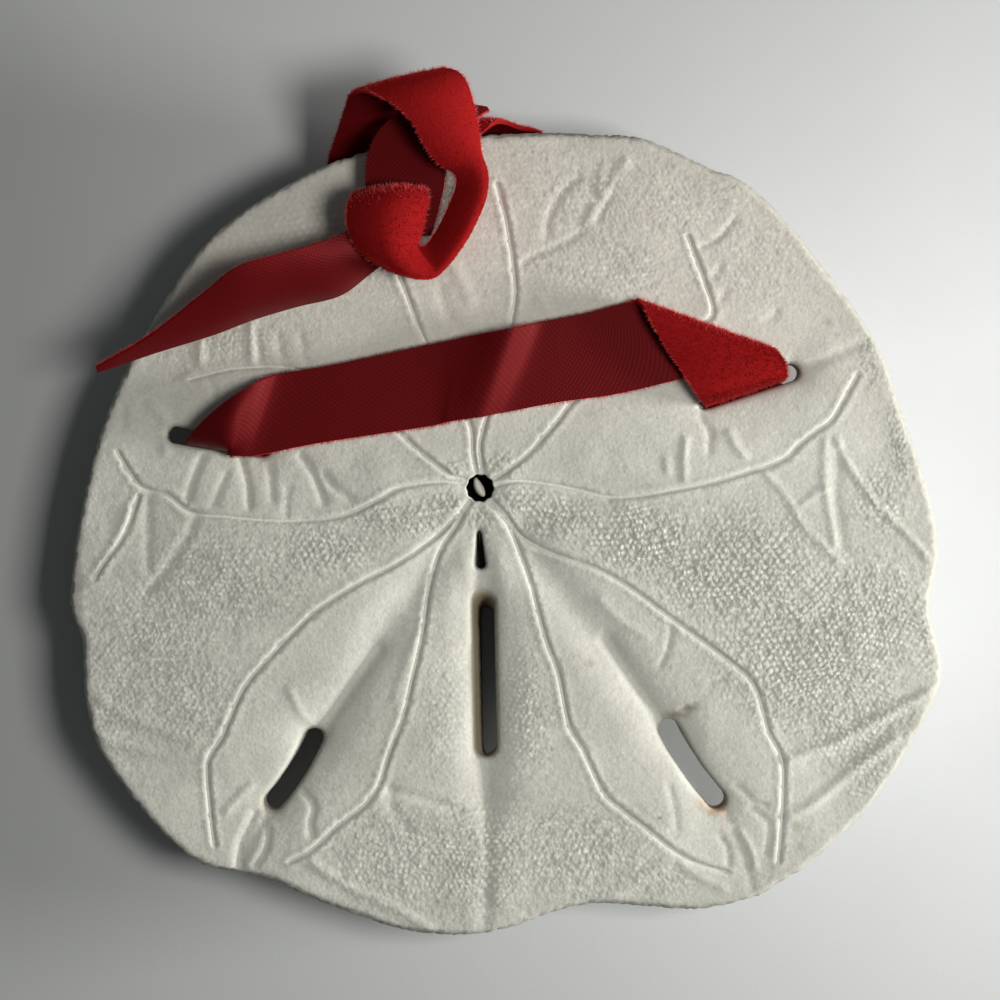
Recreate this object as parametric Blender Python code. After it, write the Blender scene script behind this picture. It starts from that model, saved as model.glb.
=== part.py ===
"""A keyhole sand dollar on a velvet ribbon, lying on a table with its mouth side up.

The shell is one solid with its five slots, its food grooves and its mouth and vent pits.
One ribbon is threaded through the two upper slots and tied over the top edge. A jaw piece
shows in the mouth. The origin is on the table under the mouth, +Z is up, and the top of the
shell in the picture points to +Y.
"""

import math

import bpy
import numpy as np
from mathutils import Vector
from mathutils.geometry import delaunay_2d_cdt

MM = 0.001

# Driving dimensions
RIBBON_WIDTH = 10.0 * MM
RIBBON_THICKNESS = 0.8 * MM
FACE_HEIGHT = 11.0 * MM
FACE_FALL = 0.5 * MM
MARGIN_LIFT = 8.0 * MM
REST_RADIUS = 14.0 * MM
DOME_POWER = 1.25
RIM_INSET = 1.3 * MM
LAYER_GAP = 0.5 * MM

# Scale of the picture: the ribbon is this many pixels wide where it lies flat
RIBBON_PIXELS = 79.0
PIXEL = RIBBON_WIDTH / RIBBON_PIXELS
MOUTH_PIXEL = (480, 488)
VIEW_PIXEL = (500, 500)
VIEW_DISTANCE = 345.0 * MM

# Relief of the shell
GROOVE_WIDTH = 1.0 * MM
GROOVE_DEPTH = 0.4 * MM
VALLEY_WIDTH = 2.6 * MM
VALLEY_DEPTH = 0.8 * MM
FUNNEL_REACH = 2.2 * MM
FUNNEL_DEPTH = 0.7 * MM
SLOT_FLARE = 0.6 * MM
SLOT_LIP = 0.9 * MM
MOUTH_RADIUS = 1.8 * MM
MOUTH_DEPTH = 5.0 * MM
VENT_DEPTH = 2.2 * MM
PETAL_START = 15.5 * MM
PETAL_END = 29.0 * MM
PETAL_HALF_WIDTH = 4.2 * MM

# Spacing of the points that the faces are made from
OUTLINE_STEP = 3.0 * MM
GROOVE_STEP = 2.6 * MM
GRID_STEP = 3.6 * MM
GRID_CLEARANCE = 1.5 * MM
SLOT_ARC_POINTS = 5
SLOT_SIDE_POINTS = 6
MOUTH_POINTS = 14
RIBBON_STEP = 2.4 * MM
RIBBON_ACROSS = 5
SLOT_LEVELS = (-0.16, 0.3, 0.94)

# Outline of the shell, in picture pixels
OUTLINE = [
    (480, 137), (557, 135), (602, 137), (643, 141), (704, 168), (743, 184), (786, 224),
    (822, 275), (858, 325), (880, 370), (899, 420), (922, 477), (933, 520), (936, 556),
    (929, 591), (928, 616), (936, 645), (940, 668), (934, 696), (904, 753), (862, 812),
    (808, 862), (778, 881), (752, 896), (697, 907), (643, 904), (598, 901), (555, 909),
    (520, 922), (476, 932), (429, 931), (394, 925), (333, 904), (302, 891), (264, 875),
    (205, 863), (170, 837), (136, 799), (103, 752), (89, 710), (85, 670), (84, 640),
    (74, 611), (73, 586), (80, 528), (90, 480), (106, 422), (131, 365), (168, 299),
    (198, 256), (225, 228), (264, 200), (300, 180), (328, 166), (364, 155), (410, 145),
    (445, 139),
]

# Slots that go right through: one end, the other end, and the width, in picture pixels
SLOTS = [
    ((483, 592), (486, 758), 22),
    ((318, 731), (268, 810), 19),
    ((664, 722), (722, 808), 20),
    ((170, 434), (268, 452), 17),
    ((795, 371), (700, 406), 17),
]
VENT = ((479, 531), (481, 569), 10)

# Food grooves that run out from the mouth, in picture pixels
GROOVES = [
    [(505, 514), (520, 535), (545, 550), (574, 561), (597, 569), (629, 587), (667, 615),
     (705, 643), (740, 670), (757, 691), (769, 732), (780, 753), (784, 775), (782, 827),
     (779, 862)],
    [(512, 533), (522, 558), (532, 588), (540, 618), (548, 646), (559, 676), (569, 725),
     (583, 750), (604, 793), (622, 810), (648, 830), (674, 851), (698, 864), (728, 873)],
    [(466, 504), (450, 523), (434, 538), (400, 562), (360, 583), (332, 600), (309, 617),
     (270, 657), (246, 685), (230, 718), (221, 740), (210, 755), (207, 773), (211, 822),
     (214, 845)],
    [(455, 528), (442, 547), (434, 569), (428, 595), (424, 625), (418, 655), (412, 680),
     (404, 714), (388, 757), (379, 785), (364, 806), (339, 825), (312, 850), (290, 862)],
    [(460, 483), (437, 482), (400, 488), (378, 500), (343, 516), (297, 521), (259, 520),
     (228, 517), (192, 513), (167, 495), (140, 486), (117, 452)],
    [(138, 496), (131, 518), (121, 539), (106, 560), (94, 579)],
    [(500, 484), (520, 481), (549, 484), (580, 490), (610, 497), (640, 496), (675, 490),
     (711, 483), (742, 474), (783, 460), (799, 445), (818, 430), (832, 420), (844, 400),
     (858, 375)],
    [(838, 444), (852, 468), (864, 489), (885, 512), (907, 538)],
    [(771, 476), (783, 491), (795, 516), (809, 534), (830, 552)],
    [(496, 478), (509, 469), (526, 456), (543, 438), (557, 422), (580, 395), (640, 352),
     (680, 332), (712, 316), (706, 285), (694, 252), (688, 236)],
    [(701, 247), (721, 236), (735, 218)],
    [(482, 466), (480, 445), (486, 420), (505, 350), (515, 300), (514, 270), (510, 241),
     (505, 214), (497, 184)],
    [(522, 264), (532, 256), (561, 244), (586, 228), (600, 212), (611, 193), (621, 173)],
    [(473, 455), (469, 422), (440, 372), (420, 330), (409, 300), (398, 272)],
    [(462, 478), (451, 476), (434, 463), (417, 449), (403, 436), (360, 400), (300, 370),
     (240, 368), (189, 379)],
]

# Broad valleys that lead from the mouth into the lower slots, in picture pixels
VALLEYS = [
    [(520, 545), (560, 590), (600, 640), (640, 695), (672, 738)],
    [(445, 545), (412, 595), (380, 640), (345, 695), (315, 740)],
    [(480, 545), (482, 600), (485, 755), (487, 800)],
]

# Directions of the five petals on the far side, in degrees from +X
PETAL_DIRECTIONS = (90.0, 170.0, 236.0, 308.0, 20.0)

# The ribbon's route from the pointed tail to the hidden one. Each station gives its upper or
# inner edge and its lower or outer edge, in picture pixels with the height in millimetres,
# and how far the ribbon bows between them towards its satin face, in millimetres.
TAIL = [
    ((96, 367, 12.2), (97, 371, 11.8), 0.0),
    ((150, 335, 13.8), (155, 351, 11.7), 0.1),
    ((200, 296, 16.0), (212, 333, 11.6), 0.5),
    ((237, 267, 17.4), (254, 317, 11.5), 1.0),
    ((280, 254, 17.0), (298, 304, 11.5), 1.0),
    ((318, 243, 16.2), (338, 294, 11.5), 1.1),
    ((346, 232, 15.1), (364, 276, 11.8), 1.0),
]
KNOT = [
    ((360, 216, 14.4), (390, 256, 13.6), 0.2),
    ((364, 204, 14.3), (412, 226, 14.1), 0.0),
    ((360, 194, 14.8), (421, 202, 14.4), 0.0),
    ((353, 190, 15.9), (424, 188, 15.5), 0.0),
    ((349, 195, 17.1), (426, 186, 16.8), -0.5),
    ((348, 210, 17.8), (426, 201, 17.6), -1.2),
    ((349, 227, 17.7), (424, 218, 17.5), -1.6),
    ((357, 246, 16.9), (420, 233, 16.8), -1.8),
    ((374, 261, 15.7), (416, 243, 16.0), -2.2),
    ((396, 271, 13.7), (418, 247, 14.9), -3.0),
    ((420, 273, 12.0), (425, 247, 14.0), -3.5),
    ((441, 260, 11.8), (433, 238, 13.7), -3.6),
    ((456, 243, 11.8), (443, 221, 13.8), -3.6),
    ((469, 221, 11.9), (451, 203, 14.0), -3.6),
    ((477, 197, 12.1), (457, 186, 14.4), -3.4),
    ((480, 170, 12.5), (455, 173, 15.2), -3.0),
    ((479, 145, 13.0), (438, 162, 16.2), -2.2),
    ((475, 120, 13.6), (424, 144, 17.0), -1.6),
    ((471, 99, 14.2), (413, 123, 17.4), -1.1),
    ((466, 83, 14.8), (398, 108, 17.4), -0.8),
    ((458, 73, 14.8), (378, 96, 16.9), -0.5),
]
BEHIND_LEFT = [
    ((446, 70, 14.0), (360, 90, 15.6), -0.3),
    ((441, 71, 12.7), (350, 96, 13.8), 0.0),
    ((434, 84, 11.2), (346, 106, 12.3), 0.2),
    ((425, 112, 9.2), (340, 124, 10.4), 0.2),
    ((415, 136, 7.1), (333, 146, 8.0), 0.1),
    ((402, 165, 5.7), (328, 164, 6.2), 0.4),
]
HALF_TWIST = [
    ((380, 192, 4.3), (330, 190, 2.6), 2.4),
    ((350, 222, 4.2), (338, 222, 0.9), 3.6),
    ((300, 250, 4.2), (340, 256, 2.6), 2.2),
]
CROSSING_LEFT = [(296, 300), (282, 334), (265, 370), (247, 410)]
LEFT_SLOT_SPAN = ((187, 437), (262, 451))
STRAP = [
    ((189, 433, 11.2), (262, 451, 11.1), 0.2),
    ((197, 422, 12.1), (261, 447, 11.6), 0.9),
    ((216, 409, 12.7), (262, 447, 11.8), 1.3),
    ((241, 393, 12.6), (266, 449, 11.8), 1.1),
    ((263, 381, 12.2), (274, 451, 11.8), 0.6),
    ((284, 375, 11.8), (288, 449, 11.8), 0.2),
    ((330, 366, 11.8), (320, 443, 11.9), 0.0),
    ((430, 345, 11.8), (446, 423, 11.8), 0.0),
    ((530, 325, 11.8), (546, 406, 11.8), 0.0),
    ((590, 313, 11.7), (617, 394, 11.7), 0.0),
    ((613, 307, 11.7), (684, 378, 11.7), 0.0),
    ((627, 303, 11.7), (742, 362, 11.7), 0.0),
    ((636, 301, 12.1), (769, 352, 11.9), 0.0),
    ((640, 302, 13.0), (777, 351, 12.8), 0.0),
    ((645, 311, 13.8), (777, 356, 13.5), -0.1),
    ((660, 338, 13.9), (783, 362, 13.4), -0.4),
    ((683, 373, 13.4), (788, 368, 12.8), -0.5),
    ((702, 399, 12.2), (789, 373, 11.8), -0.3),
]
RIGHT_SLOT_SPAN = ((710, 402), (787, 375))
CROSSING_RIGHT = [(716, 352), (696, 334), (665, 306), (628, 270), (590, 232), (555, 197)]
HIDDEN_END = [
    ((494, 191, 4.6), (550, 142, 6.2), 0.0),
    ((474, 160, 5.7), (539, 131, 6.6), 0.0),
    ((456, 126, 7.2), (520, 124, 7.8), 0.0),
    ((448, 117, 8.9), (504, 117, 9.4), 0.0),
    ((440, 121, 10.7), (494, 123, 11.0), 0.0),
    ((421, 135, 11.5), (478, 137, 11.6), 0.0),
    ((392, 160, 11.5), (448, 166, 11.5), 0.0),
    ((374, 195, 11.5), (440, 194, 11.5), 0.0),
    ((370, 226, 11.5), (434, 224, 11.5), 0.0),
    ((369, 236, 12.2), (431, 233, 12.2), 0.0),
    ((368, 227, 13.0), (434, 226, 13.0), 0.0),
    ((366, 195, 13.0), (443, 191, 13.0), 0.0),
    ((367, 160, 13.1), (446, 170, 13.2), 0.0),
    ((380, 130, 13.0), (453, 146, 13.0), 0.0),
    ((410, 108, 12.6), (470, 124, 12.5), 0.0),
    ((452, 103, 12.3), (482, 114, 12.2), 0.0),
    ((487, 107, 12.1), (489, 110, 12.1), 0.0),
]

# Colours
SHELL_COLOUR = (0.50, 0.49, 0.42)
RIBBON_COLOUR = (0.28, 0.008, 0.015)
TOOTH_COLOUR = (0.72, 0.70, 0.64)


# Plan positions

def plan(points):
    """Turn picture pixels on the shell's face into metres from the mouth."""
    picked = np.asarray(points, dtype=float)
    return (picked - MOUTH_PIXEL) * (PIXEL, -PIXEL)


def place(px, py, height):
    """Return the point in space that shows at a picture pixel at this height."""
    shrink = (VIEW_DISTANCE + FACE_HEIGHT - height) / VIEW_DISTANCE
    x = (VIEW_PIXEL[0] + (px - VIEW_PIXEL[0]) * shrink - MOUTH_PIXEL[0]) * PIXEL
    y = (MOUTH_PIXEL[1] - VIEW_PIXEL[1] - (py - VIEW_PIXEL[1]) * shrink) * PIXEL
    return np.array((x, y, height))


def smooth_path(points, step, closed=False):
    """Sample a Catmull-Rom curve through points, about one step apart."""
    knots = np.asarray(points, dtype=float)
    count = len(knots)
    spans = count if closed else count - 1
    samples = []
    for i in range(spans):
        if closed:
            p0, p1, p2, p3 = (knots[(i + k) % count] for k in (-1, 0, 1, 2))
        else:
            p0, p1, p2, p3 = (knots[min(max(i + k, 0), count - 1)] for k in (-1, 0, 1, 2))
        pieces = max(1, round(np.abs(p2 - p1).max() / step))
        for t in np.arange(pieces) / pieces:
            samples.append(0.5 * (2 * p1 + (p2 - p0) * t
                                  + (2 * p0 - 5 * p1 + 4 * p2 - p3) * t ** 2
                                  + (3 * p1 - p0 - 3 * p2 + p3) * t ** 3))
    if not closed:
        samples.append(knots[-1])
    return np.array(samples)


def distance_to_path(points, path):
    """Return each point's distance to a path of straight runs."""
    starts, ends = path[:-1], path[1:]
    runs = ends - starts
    offsets = points[:, None, :] - starts[None]
    along = np.clip((offsets * runs).sum(2) / (runs ** 2).sum(1), 0.0, 1.0)
    gaps = offsets - along[..., None] * runs
    return np.sqrt((gaps ** 2).sum(2)).min(1)


def inside(points, loop):
    """Say which points lie inside a closed loop."""
    x, y = points[:, 0], points[:, 1]
    result = np.zeros(len(points), dtype=bool)
    for (x1, y1), (x2, y2) in zip(loop, np.roll(loop, -1, axis=0)):
        if y1 != y2:
            crosses = (y1 > y) != (y2 > y)
            result ^= crosses & (x < x1 + (y - y1) * (x2 - x1) / (y2 - y1))
    return result


OUTLINE_LOOP = smooth_path(plan(OUTLINE), OUTLINE_STEP, closed=True)[::-1]
GROOVE_PATHS = [smooth_path(plan(groove), GROOVE_STEP) for groove in GROOVES]
VALLEY_PATHS = [plan(valley) for valley in VALLEYS]


def outline_radius(points):
    """Return the shell's radius in the direction of each point."""
    angles = np.arctan2(OUTLINE_LOOP[:, 1], OUTLINE_LOOP[:, 0])
    order = np.argsort(angles)
    radii = np.hypot(OUTLINE_LOOP[:, 0], OUTLINE_LOOP[:, 1])
    return np.interp(np.arctan2(points[:, 1], points[:, 0]), angles[order], radii[order],
                     period=2 * math.pi)


# Slots and pits

def slot_axis(slot):
    """Return the centres of a slot's round ends and its half width, in metres."""
    ends = plan(slot[:2])
    half = slot[2] * PIXEL / 2
    direction = (ends[1] - ends[0]) / np.linalg.norm(ends[1] - ends[0])
    return ends[0] + direction * half, ends[1] - direction * half, half


def slot_loop(slot, flare):
    """Return the loop round a slot, widened by flare."""
    first, last, half = slot_axis(slot)
    direction = (last - first) / np.linalg.norm(last - first)
    side = np.array((-direction[1], direction[0]))
    loop = []
    for centre, forward in ((last, direction), (first, -direction)):
        across = -side if centre is last else side
        for angle in np.linspace(0.0, math.pi, SLOT_ARC_POINTS):
            turn = across * math.cos(angle) + forward * math.sin(angle)
            loop.append(centre + turn * (half + flare))
        target = first if centre is last else last
        start = loop[-1]
        stop = start + (target - centre)
        for t in np.arange(1, SLOT_SIDE_POINTS) / SLOT_SIDE_POINTS:
            loop.append(start + (stop - start) * t)
    return np.array(loop)


def circle(radius, count):
    """Return a circle of points round the mouth."""
    angles = np.arange(count) * 2 * math.pi / count
    return radius * np.column_stack((np.cos(angles), np.sin(angles)))


def slot_distance(points, slot):
    """Return each point's distance to a slot's edge, 0 inside it."""
    first, last, half = slot_axis(slot)
    return np.maximum(distance_to_path(points, np.array((first, last))) - half, 0.0)


# Heights of the two faces

def face_height(points):
    """Return the height of the mouth side at each point."""
    share = np.hypot(points[:, 0], points[:, 1]) / outline_radius(points)
    height = FACE_HEIGHT - FACE_FALL * share ** 2
    for path in VALLEY_PATHS:
        height -= VALLEY_DEPTH * np.exp(-(distance_to_path(points, path) / VALLEY_WIDTH) ** 2)
    for slot in SLOTS:
        height -= FUNNEL_DEPTH * np.exp(-slot_distance(points, slot) / FUNNEL_REACH)
    for path in GROOVE_PATHS:
        share_out = distance_to_path(points, path) / (GROOVE_WIDTH / 2)
        height -= GROOVE_DEPTH * np.clip(1.0 - share_out, 0.0, 1.0)
    return height


def dome_height(points):
    """Return the height of the far side, without its petals, at each point."""
    radius = np.hypot(points[:, 0], points[:, 1])
    reach = (radius - REST_RADIUS) / (outline_radius(points) - REST_RADIUS)
    return MARGIN_LIFT * np.clip(reach, 0.0, 1.0) ** DOME_POWER


def petal_paths():
    """Return the two pore rows of each petal on the far side."""
    paths = []
    share = np.linspace(0.0, 1.0, 7)
    along = PETAL_START + (PETAL_END - PETAL_START) * share
    half = PETAL_HALF_WIDTH * np.sin(math.pi * (0.28 + 0.67 * share))
    for degrees in PETAL_DIRECTIONS:
        angle = math.radians(degrees)
        forward = np.array((math.cos(angle), math.sin(angle)))
        side = np.array((-forward[1], forward[0]))
        for sign in (-1, 1):
            paths.append(along[:, None] * forward + sign * half[:, None] * side)
    return paths


PETAL_PATHS = petal_paths()


def far_height(points):
    """Return the height of the far side at each point."""
    height = dome_height(points)
    for path in PETAL_PATHS:
        share_out = distance_to_path(points, path) / (GROOVE_WIDTH / 2)
        height += GROOVE_DEPTH * np.clip(1.0 - share_out, 0.0, 1.0)
    return height


# Making the shell

def path_points(path):
    """Return a groove's middle points and the points along its two sides."""
    runs = np.gradient(path, axis=0)
    runs /= np.linalg.norm(runs, axis=1)[:, None]
    sides = np.column_stack((-runs[:, 1], runs[:, 0])) * GROOVE_WIDTH / 2
    return [path, path + sides, path - sides]


def grid_points(avoid, loops):
    """Return a triangular grid that keeps clear of the points in avoid and of the loops."""
    row_step = GRID_STEP * math.sqrt(3) / 2
    low, high = OUTLINE_LOOP.min(0), OUTLINE_LOOP.max(0)
    rows = []
    for j, y in enumerate(np.arange(low[1], high[1], row_step)):
        x = np.arange(low[0] + (j % 2) * GRID_STEP / 2, high[0], GRID_STEP)
        rows.append(np.column_stack((x, np.full(len(x), y))))
    grid = np.vstack(rows)
    keep = inside(grid, loops[0])
    for loop in loops[1:]:
        keep &= ~inside(grid, loop)
    grid = grid[keep]
    gaps = np.linalg.norm(grid[:, None] - avoid[None], axis=2).min(1)
    return grid[gaps > GRID_CLEARANCE]


def keep_off_loops(points, loops, clearance):
    """Drop the points that are outside the face or close to one of its loops."""
    keep = inside(points, loops[0])
    for i, loop in enumerate(loops):
        closed = np.vstack((loop, loop[:1]))
        keep &= distance_to_path(points, closed) > clearance
        if i:
            keep &= ~inside(points, loop)
    return points[keep]


def thin_out(points, gap):
    """Drop each point that is closer than gap to one kept before it."""
    kept = []
    for point in points:
        if not kept or np.linalg.norm(np.array(kept) - point, axis=1).min() > gap:
            kept.append(point)
    return np.array(kept)


def triangulate_face(loops, fine_paths, extra):
    """Return the points of a face, its loops first, and its triangles.

    The first loop is the outer edge and the others are holes.
    """
    fine = np.vstack([row for path in fine_paths for row in path_points(path)] + extra)
    fine = thin_out(keep_off_loops(fine, loops, GROOVE_WIDTH / 2), GROOVE_WIDTH * 0.45)
    edge_points = np.vstack(loops)
    grid = grid_points(np.vstack((edge_points, fine)), loops)
    points = np.vstack((edge_points, fine, grid))
    edges = []
    start = 0
    for loop in loops:
        count = len(loop)
        edges += [(start + i, start + (i + 1) % count) for i in range(count)]
        start += count
    scaled = [Vector(point / MM) for point in points]
    found, _, faces, sources, _, _ = delaunay_2d_cdt(scaled, edges, [], 0, 1e-5)
    back = [source[0] for source in sources]
    if len(found) != len(points):
        raise ValueError("two points of a face fall together")
    triangles = np.array([[back[i] for i in face] for face in faces])
    centres = points[triangles].mean(axis=1)
    keep = inside(centres, loops[0])
    for loop in loops[1:]:
        keep &= ~inside(centres, loop)
    return points, triangles[keep]


class ShellBuilder:
    """Collects the shell's points and triangles."""

    def __init__(self):
        self.points = []
        self.faces = []

    def add_points(self, plan_points, heights):
        """Add points and return their numbers."""
        start = len(self.points)
        self.points += [(x, y, z) for (x, y), z in zip(plan_points, heights)]
        return list(range(start, len(self.points)))

    def add_face(self, loops, fine_paths, extra, height, upwards):
        """Add one broad face and return the numbers of each loop's points."""
        points, triangles = triangulate_face(loops, fine_paths, extra)
        numbers = self.add_points(points, height(points))
        for a, b, c in triangles:
            (ax, ay), (bx, by), (cx, cy) = points[a], points[b], points[c]
            left_turn = (bx - ax) * (cy - ay) - (by - ay) * (cx - ax) > 0
            corners = (a, b, c) if left_turn == upwards else (a, c, b)
            self.faces.append(tuple(numbers[i] for i in corners))
        rings = []
        start = 0
        for loop in loops:
            rings.append(numbers[start:start + len(loop)])
            start += len(loop)
        return rings

    def add_wall(self, rings):
        """Join rings of equal length, each to the next, as bands of quads."""
        for first, second in zip(rings, rings[1:]):
            count = len(first)
            for i in range(count):
                j = (i + 1) % count
                self.faces.append((first[i], first[j], second[j], second[i]))

    def add_floor(self, ring, centre, height):
        """Close a ring with a fan round its centre."""
        middle = self.add_points([centre], [height])[0]
        count = len(ring)
        for i in range(count):
            self.faces.append((ring[i], ring[(i + 1) % count], middle))


def rim_loop(inset):
    """Return the outline moved towards the mouth by inset."""
    radius = np.hypot(OUTLINE_LOOP[:, 0], OUTLINE_LOOP[:, 1])
    return OUTLINE_LOOP * (1.0 - inset / radius)[:, None]


def add_rim(builder, top_ring, bottom_ring):
    """Add the rounded outer edge between the two faces."""
    edge = OUTLINE_LOOP * 0.999
    top, bottom = face_height(edge), far_height(edge)
    middle = (top + bottom) / 2
    half = (top - bottom) / 2
    rings = [top_ring]
    for inset, rise in ((0.35, 0.62), (0.0, 0.0), (0.35, -0.62)):
        rings.append(builder.add_points(rim_loop(inset * RIM_INSET), middle + half * rise))
    rings.append(bottom_ring)
    builder.add_wall([ring[::-1] for ring in rings])


def add_slot_wall(builder, slot, top_ring, bottom_ring):
    """Add the wall of one slot, which flares at both faces."""
    loop = slot_loop(slot, 0.0)
    upper = builder.add_points(loop, face_height(loop) - SLOT_LIP)
    lower = builder.add_points(loop, far_height(loop) + SLOT_LIP)
    builder.add_wall([top_ring, upper, lower, bottom_ring])


def add_mouth(builder, top_ring):
    """Add the mouth, a pit with a narrow lip."""
    top = FACE_HEIGHT
    rings = [top_ring]
    for share, depth in ((0.92, 0.12), (1.0, 0.6), (0.85, 1.0)):
        loop = circle(MOUTH_RADIUS * share, MOUTH_POINTS)
        rings.append(builder.add_points(loop, np.full(MOUTH_POINTS, top - depth * MOUTH_DEPTH)))
    builder.add_wall(rings)
    builder.add_floor(rings[-1], (0.0, 0.0), top - MOUTH_DEPTH)


def add_vent(builder, top_ring):
    """Add the vent, a narrow pit between the mouth and the nearest slot."""
    first, last, half = slot_axis(VENT)
    loop = slot_loop(VENT, -0.1 * half)
    lip = builder.add_points(loop, face_height(loop) - 0.3 * VENT_DEPTH)
    floor = slot_loop(VENT, -0.4 * half)
    bottom = builder.add_points(floor, face_height(floor) - VENT_DEPTH)
    builder.add_wall([top_ring, lip, bottom])
    centre = (first + last) / 2
    depth = face_height(centre[None])[0] - VENT_DEPTH
    builder.add_floor(bottom, centre, depth)


def build_shell():
    """Build the sand dollar's shell as one closed solid."""
    builder = ShellBuilder()
    top_loops = [rim_loop(RIM_INSET)]
    top_loops += [slot_loop(slot, SLOT_FLARE) for slot in SLOTS]
    top_loops += [circle(MOUTH_RADIUS * 1.08, MOUTH_POINTS), slot_loop(VENT, 0.3 * MM)]
    valley_rows = [smooth_path(path, GROOVE_STEP) for path in VALLEY_PATHS]
    top_rings = builder.add_face(top_loops, GROOVE_PATHS, valley_rows, face_height, True)
    bottom_loops = [rim_loop(RIM_INSET)]
    bottom_loops += [slot_loop(slot, SLOT_FLARE) for slot in SLOTS]
    rest_edge = circle(REST_RADIUS, 40)
    bottom_rings = builder.add_face(bottom_loops, PETAL_PATHS, [rest_edge], far_height, False)
    add_rim(builder, top_rings[0], bottom_rings[0])
    for slot, top_ring, bottom_ring in zip(SLOTS, top_rings[1:6], bottom_rings[1:]):
        add_slot_wall(builder, slot, top_ring, bottom_ring)
    add_mouth(builder, top_rings[6])
    add_vent(builder, top_rings[7])
    return builder.points, builder.faces


# Making the ribbon

def station(inner, outer, bow):
    """Return one station of the ribbon as seven numbers in metres."""
    first = place(inner[0], inner[1], inner[2] * MM)
    second = place(outer[0], outer[1], outer[2] * MM)
    return np.concatenate((first, second, (bow * MM,)))


def under_shell(pixel):
    """Return a point on the ribbon's middle surface below the shell's far side."""
    point = plan([pixel])
    drop = RIBBON_THICKNESS / 2 + LAYER_GAP
    return np.append(point[0], dome_height(point)[0] - drop)


def crossing(middles, toward_inner):
    """Return the stations where the ribbon runs behind the shell.

    The edges stand half a width to either side of the middles.
    """
    rows = []
    half = RIBBON_PIXELS / 2
    path = np.array(middles, dtype=float)
    runs = np.gradient(path, axis=0)
    for middle, run in zip(path, runs):
        side = np.array((-run[1], run[0])) / np.hypot(*run) * toward_inner
        inner = under_shell(middle + side * half)
        outer = under_shell(middle - side * half)
        rows.append(np.concatenate((inner, outer, (0.0,))))
    return rows


def through_slot(span, upwards):
    """Return the stations where the ribbon stands in a slot."""
    inner, outer = plan(span)
    points = np.array((inner, outer))
    low = dome_height(points)
    high = face_height(points)
    rows = []
    for share in SLOT_LEVELS:
        heights = low + (high - low) * share
        rows.append(np.concatenate((inner, heights[:1], outer, heights[1:], (0.0,))))
    return rows if upwards else rows[::-1]


def ribbon_stations():
    """Return all the ribbon's stations in order."""
    rows = [station(*entry) for entry in TAIL + KNOT + BEHIND_LEFT + HALF_TWIST]
    rows += crossing(CROSSING_LEFT, 1.0)
    rows += through_slot(LEFT_SLOT_SPAN, True)
    rows += [station(*entry) for entry in STRAP]
    rows += through_slot(RIGHT_SLOT_SPAN, False)
    rows += crossing(CROSSING_RIGHT, -1.0)
    rows += [station(*entry) for entry in HIDDEN_END]
    return np.array(rows)


def middle_surface(stations):
    """Return the ribbon's middle surface as rows of points across it."""
    path = smooth_path(stations, RIBBON_STEP)
    inner, outer, bow = path[:, :3], path[:, 3:6], path[:, 6]
    travel = np.gradient((inner + outer) / 2, axis=0)
    normal = np.cross(travel, inner - outer)
    normal /= np.linalg.norm(normal, axis=1)[:, None]
    rows = []
    for share in np.linspace(0.0, 1.0, RIBBON_ACROSS):
        swell = (4 * share * (1 - share) * bow)[:, None] * normal
        rows.append(outer + (inner - outer) * share + swell)
    return np.stack(rows, axis=1)


def surface_normals(surface):
    """Return the unit normals of a surface given as rows of points, satin side out."""
    along = np.gradient(surface, axis=0)
    across = np.gradient(surface, axis=1)
    normals = np.cross(along, across)
    return normals / np.linalg.norm(normals, axis=2)[..., None]


def build_ribbon():
    """Build the whole ribbon as one closed strip."""
    surface = middle_surface(ribbon_stations())
    offset = surface_normals(surface) * RIBBON_THICKNESS / 2
    rings = np.concatenate((surface + offset, (surface - offset)[:, ::-1]), axis=1)
    count = rings.shape[1]
    points = rings.reshape(-1, 3)
    faces = []
    for i in range(len(rings) - 1):
        for k in range(count):
            a, b = i * count + k, i * count + (k + 1) % count
            faces.append((a, a + count, b + count, b))
    last = (len(rings) - 1) * count
    for k in range(RIBBON_ACROSS - 1):
        a, b, c, d = k, k + 1, count - 2 - k, count - 1 - k
        faces.append((a, b, c, d))
        faces.append((last + d, last + c, last + b, last + a))
    return points, faces


# Making the jaw piece

def build_tooth():
    """Build the jaw piece that shows in the mouth, a tapered wedge."""
    ends = plan([(475, 480), (482, 495)])
    direction = (ends[1] - ends[0]) / np.linalg.norm(ends[1] - ends[0])
    side = np.array((-direction[1], direction[0]))
    middle = ends.mean(0)
    half_length = np.linalg.norm(ends[1] - ends[0]) / 2
    levels = ((-4.5, 0.55, 0.32), (-2.6, 0.9, 0.5), (-1.5, 1.0, 0.42), (-1.0, 0.62, 0.2))
    rings = []
    for depth, length_share, half_width in levels:
        ring = []
        for k in range(8):
            angle = 2 * math.pi * k / 8
            across = side * half_width * MM * math.sin(angle)
            along = direction * half_length * length_share * math.cos(angle)
            ring.append((*(middle + along + across), FACE_HEIGHT + depth * MM))
        rings.append(ring)
    points = [point for ring in rings for point in ring]
    faces = [tuple(range(8))[::-1], tuple(range(24, 32))]
    for i in range(3):
        for k in range(8):
            a, b = i * 8 + k, i * 8 + (k + 1) % 8
            faces.append((a, b, b + 8, a + 8))
    return points, faces


# Objects and materials

def make_material(name, colour, roughness):
    """Make a plain material."""
    material = bpy.data.materials.new(name)
    material.use_nodes = True
    shader = material.node_tree.nodes["Principled BSDF"]
    shader.inputs["Base Color"].default_value = (*colour, 1.0)
    shader.inputs["Roughness"].default_value = roughness
    shader.inputs["Metallic"].default_value = 0.0
    return material


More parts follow.
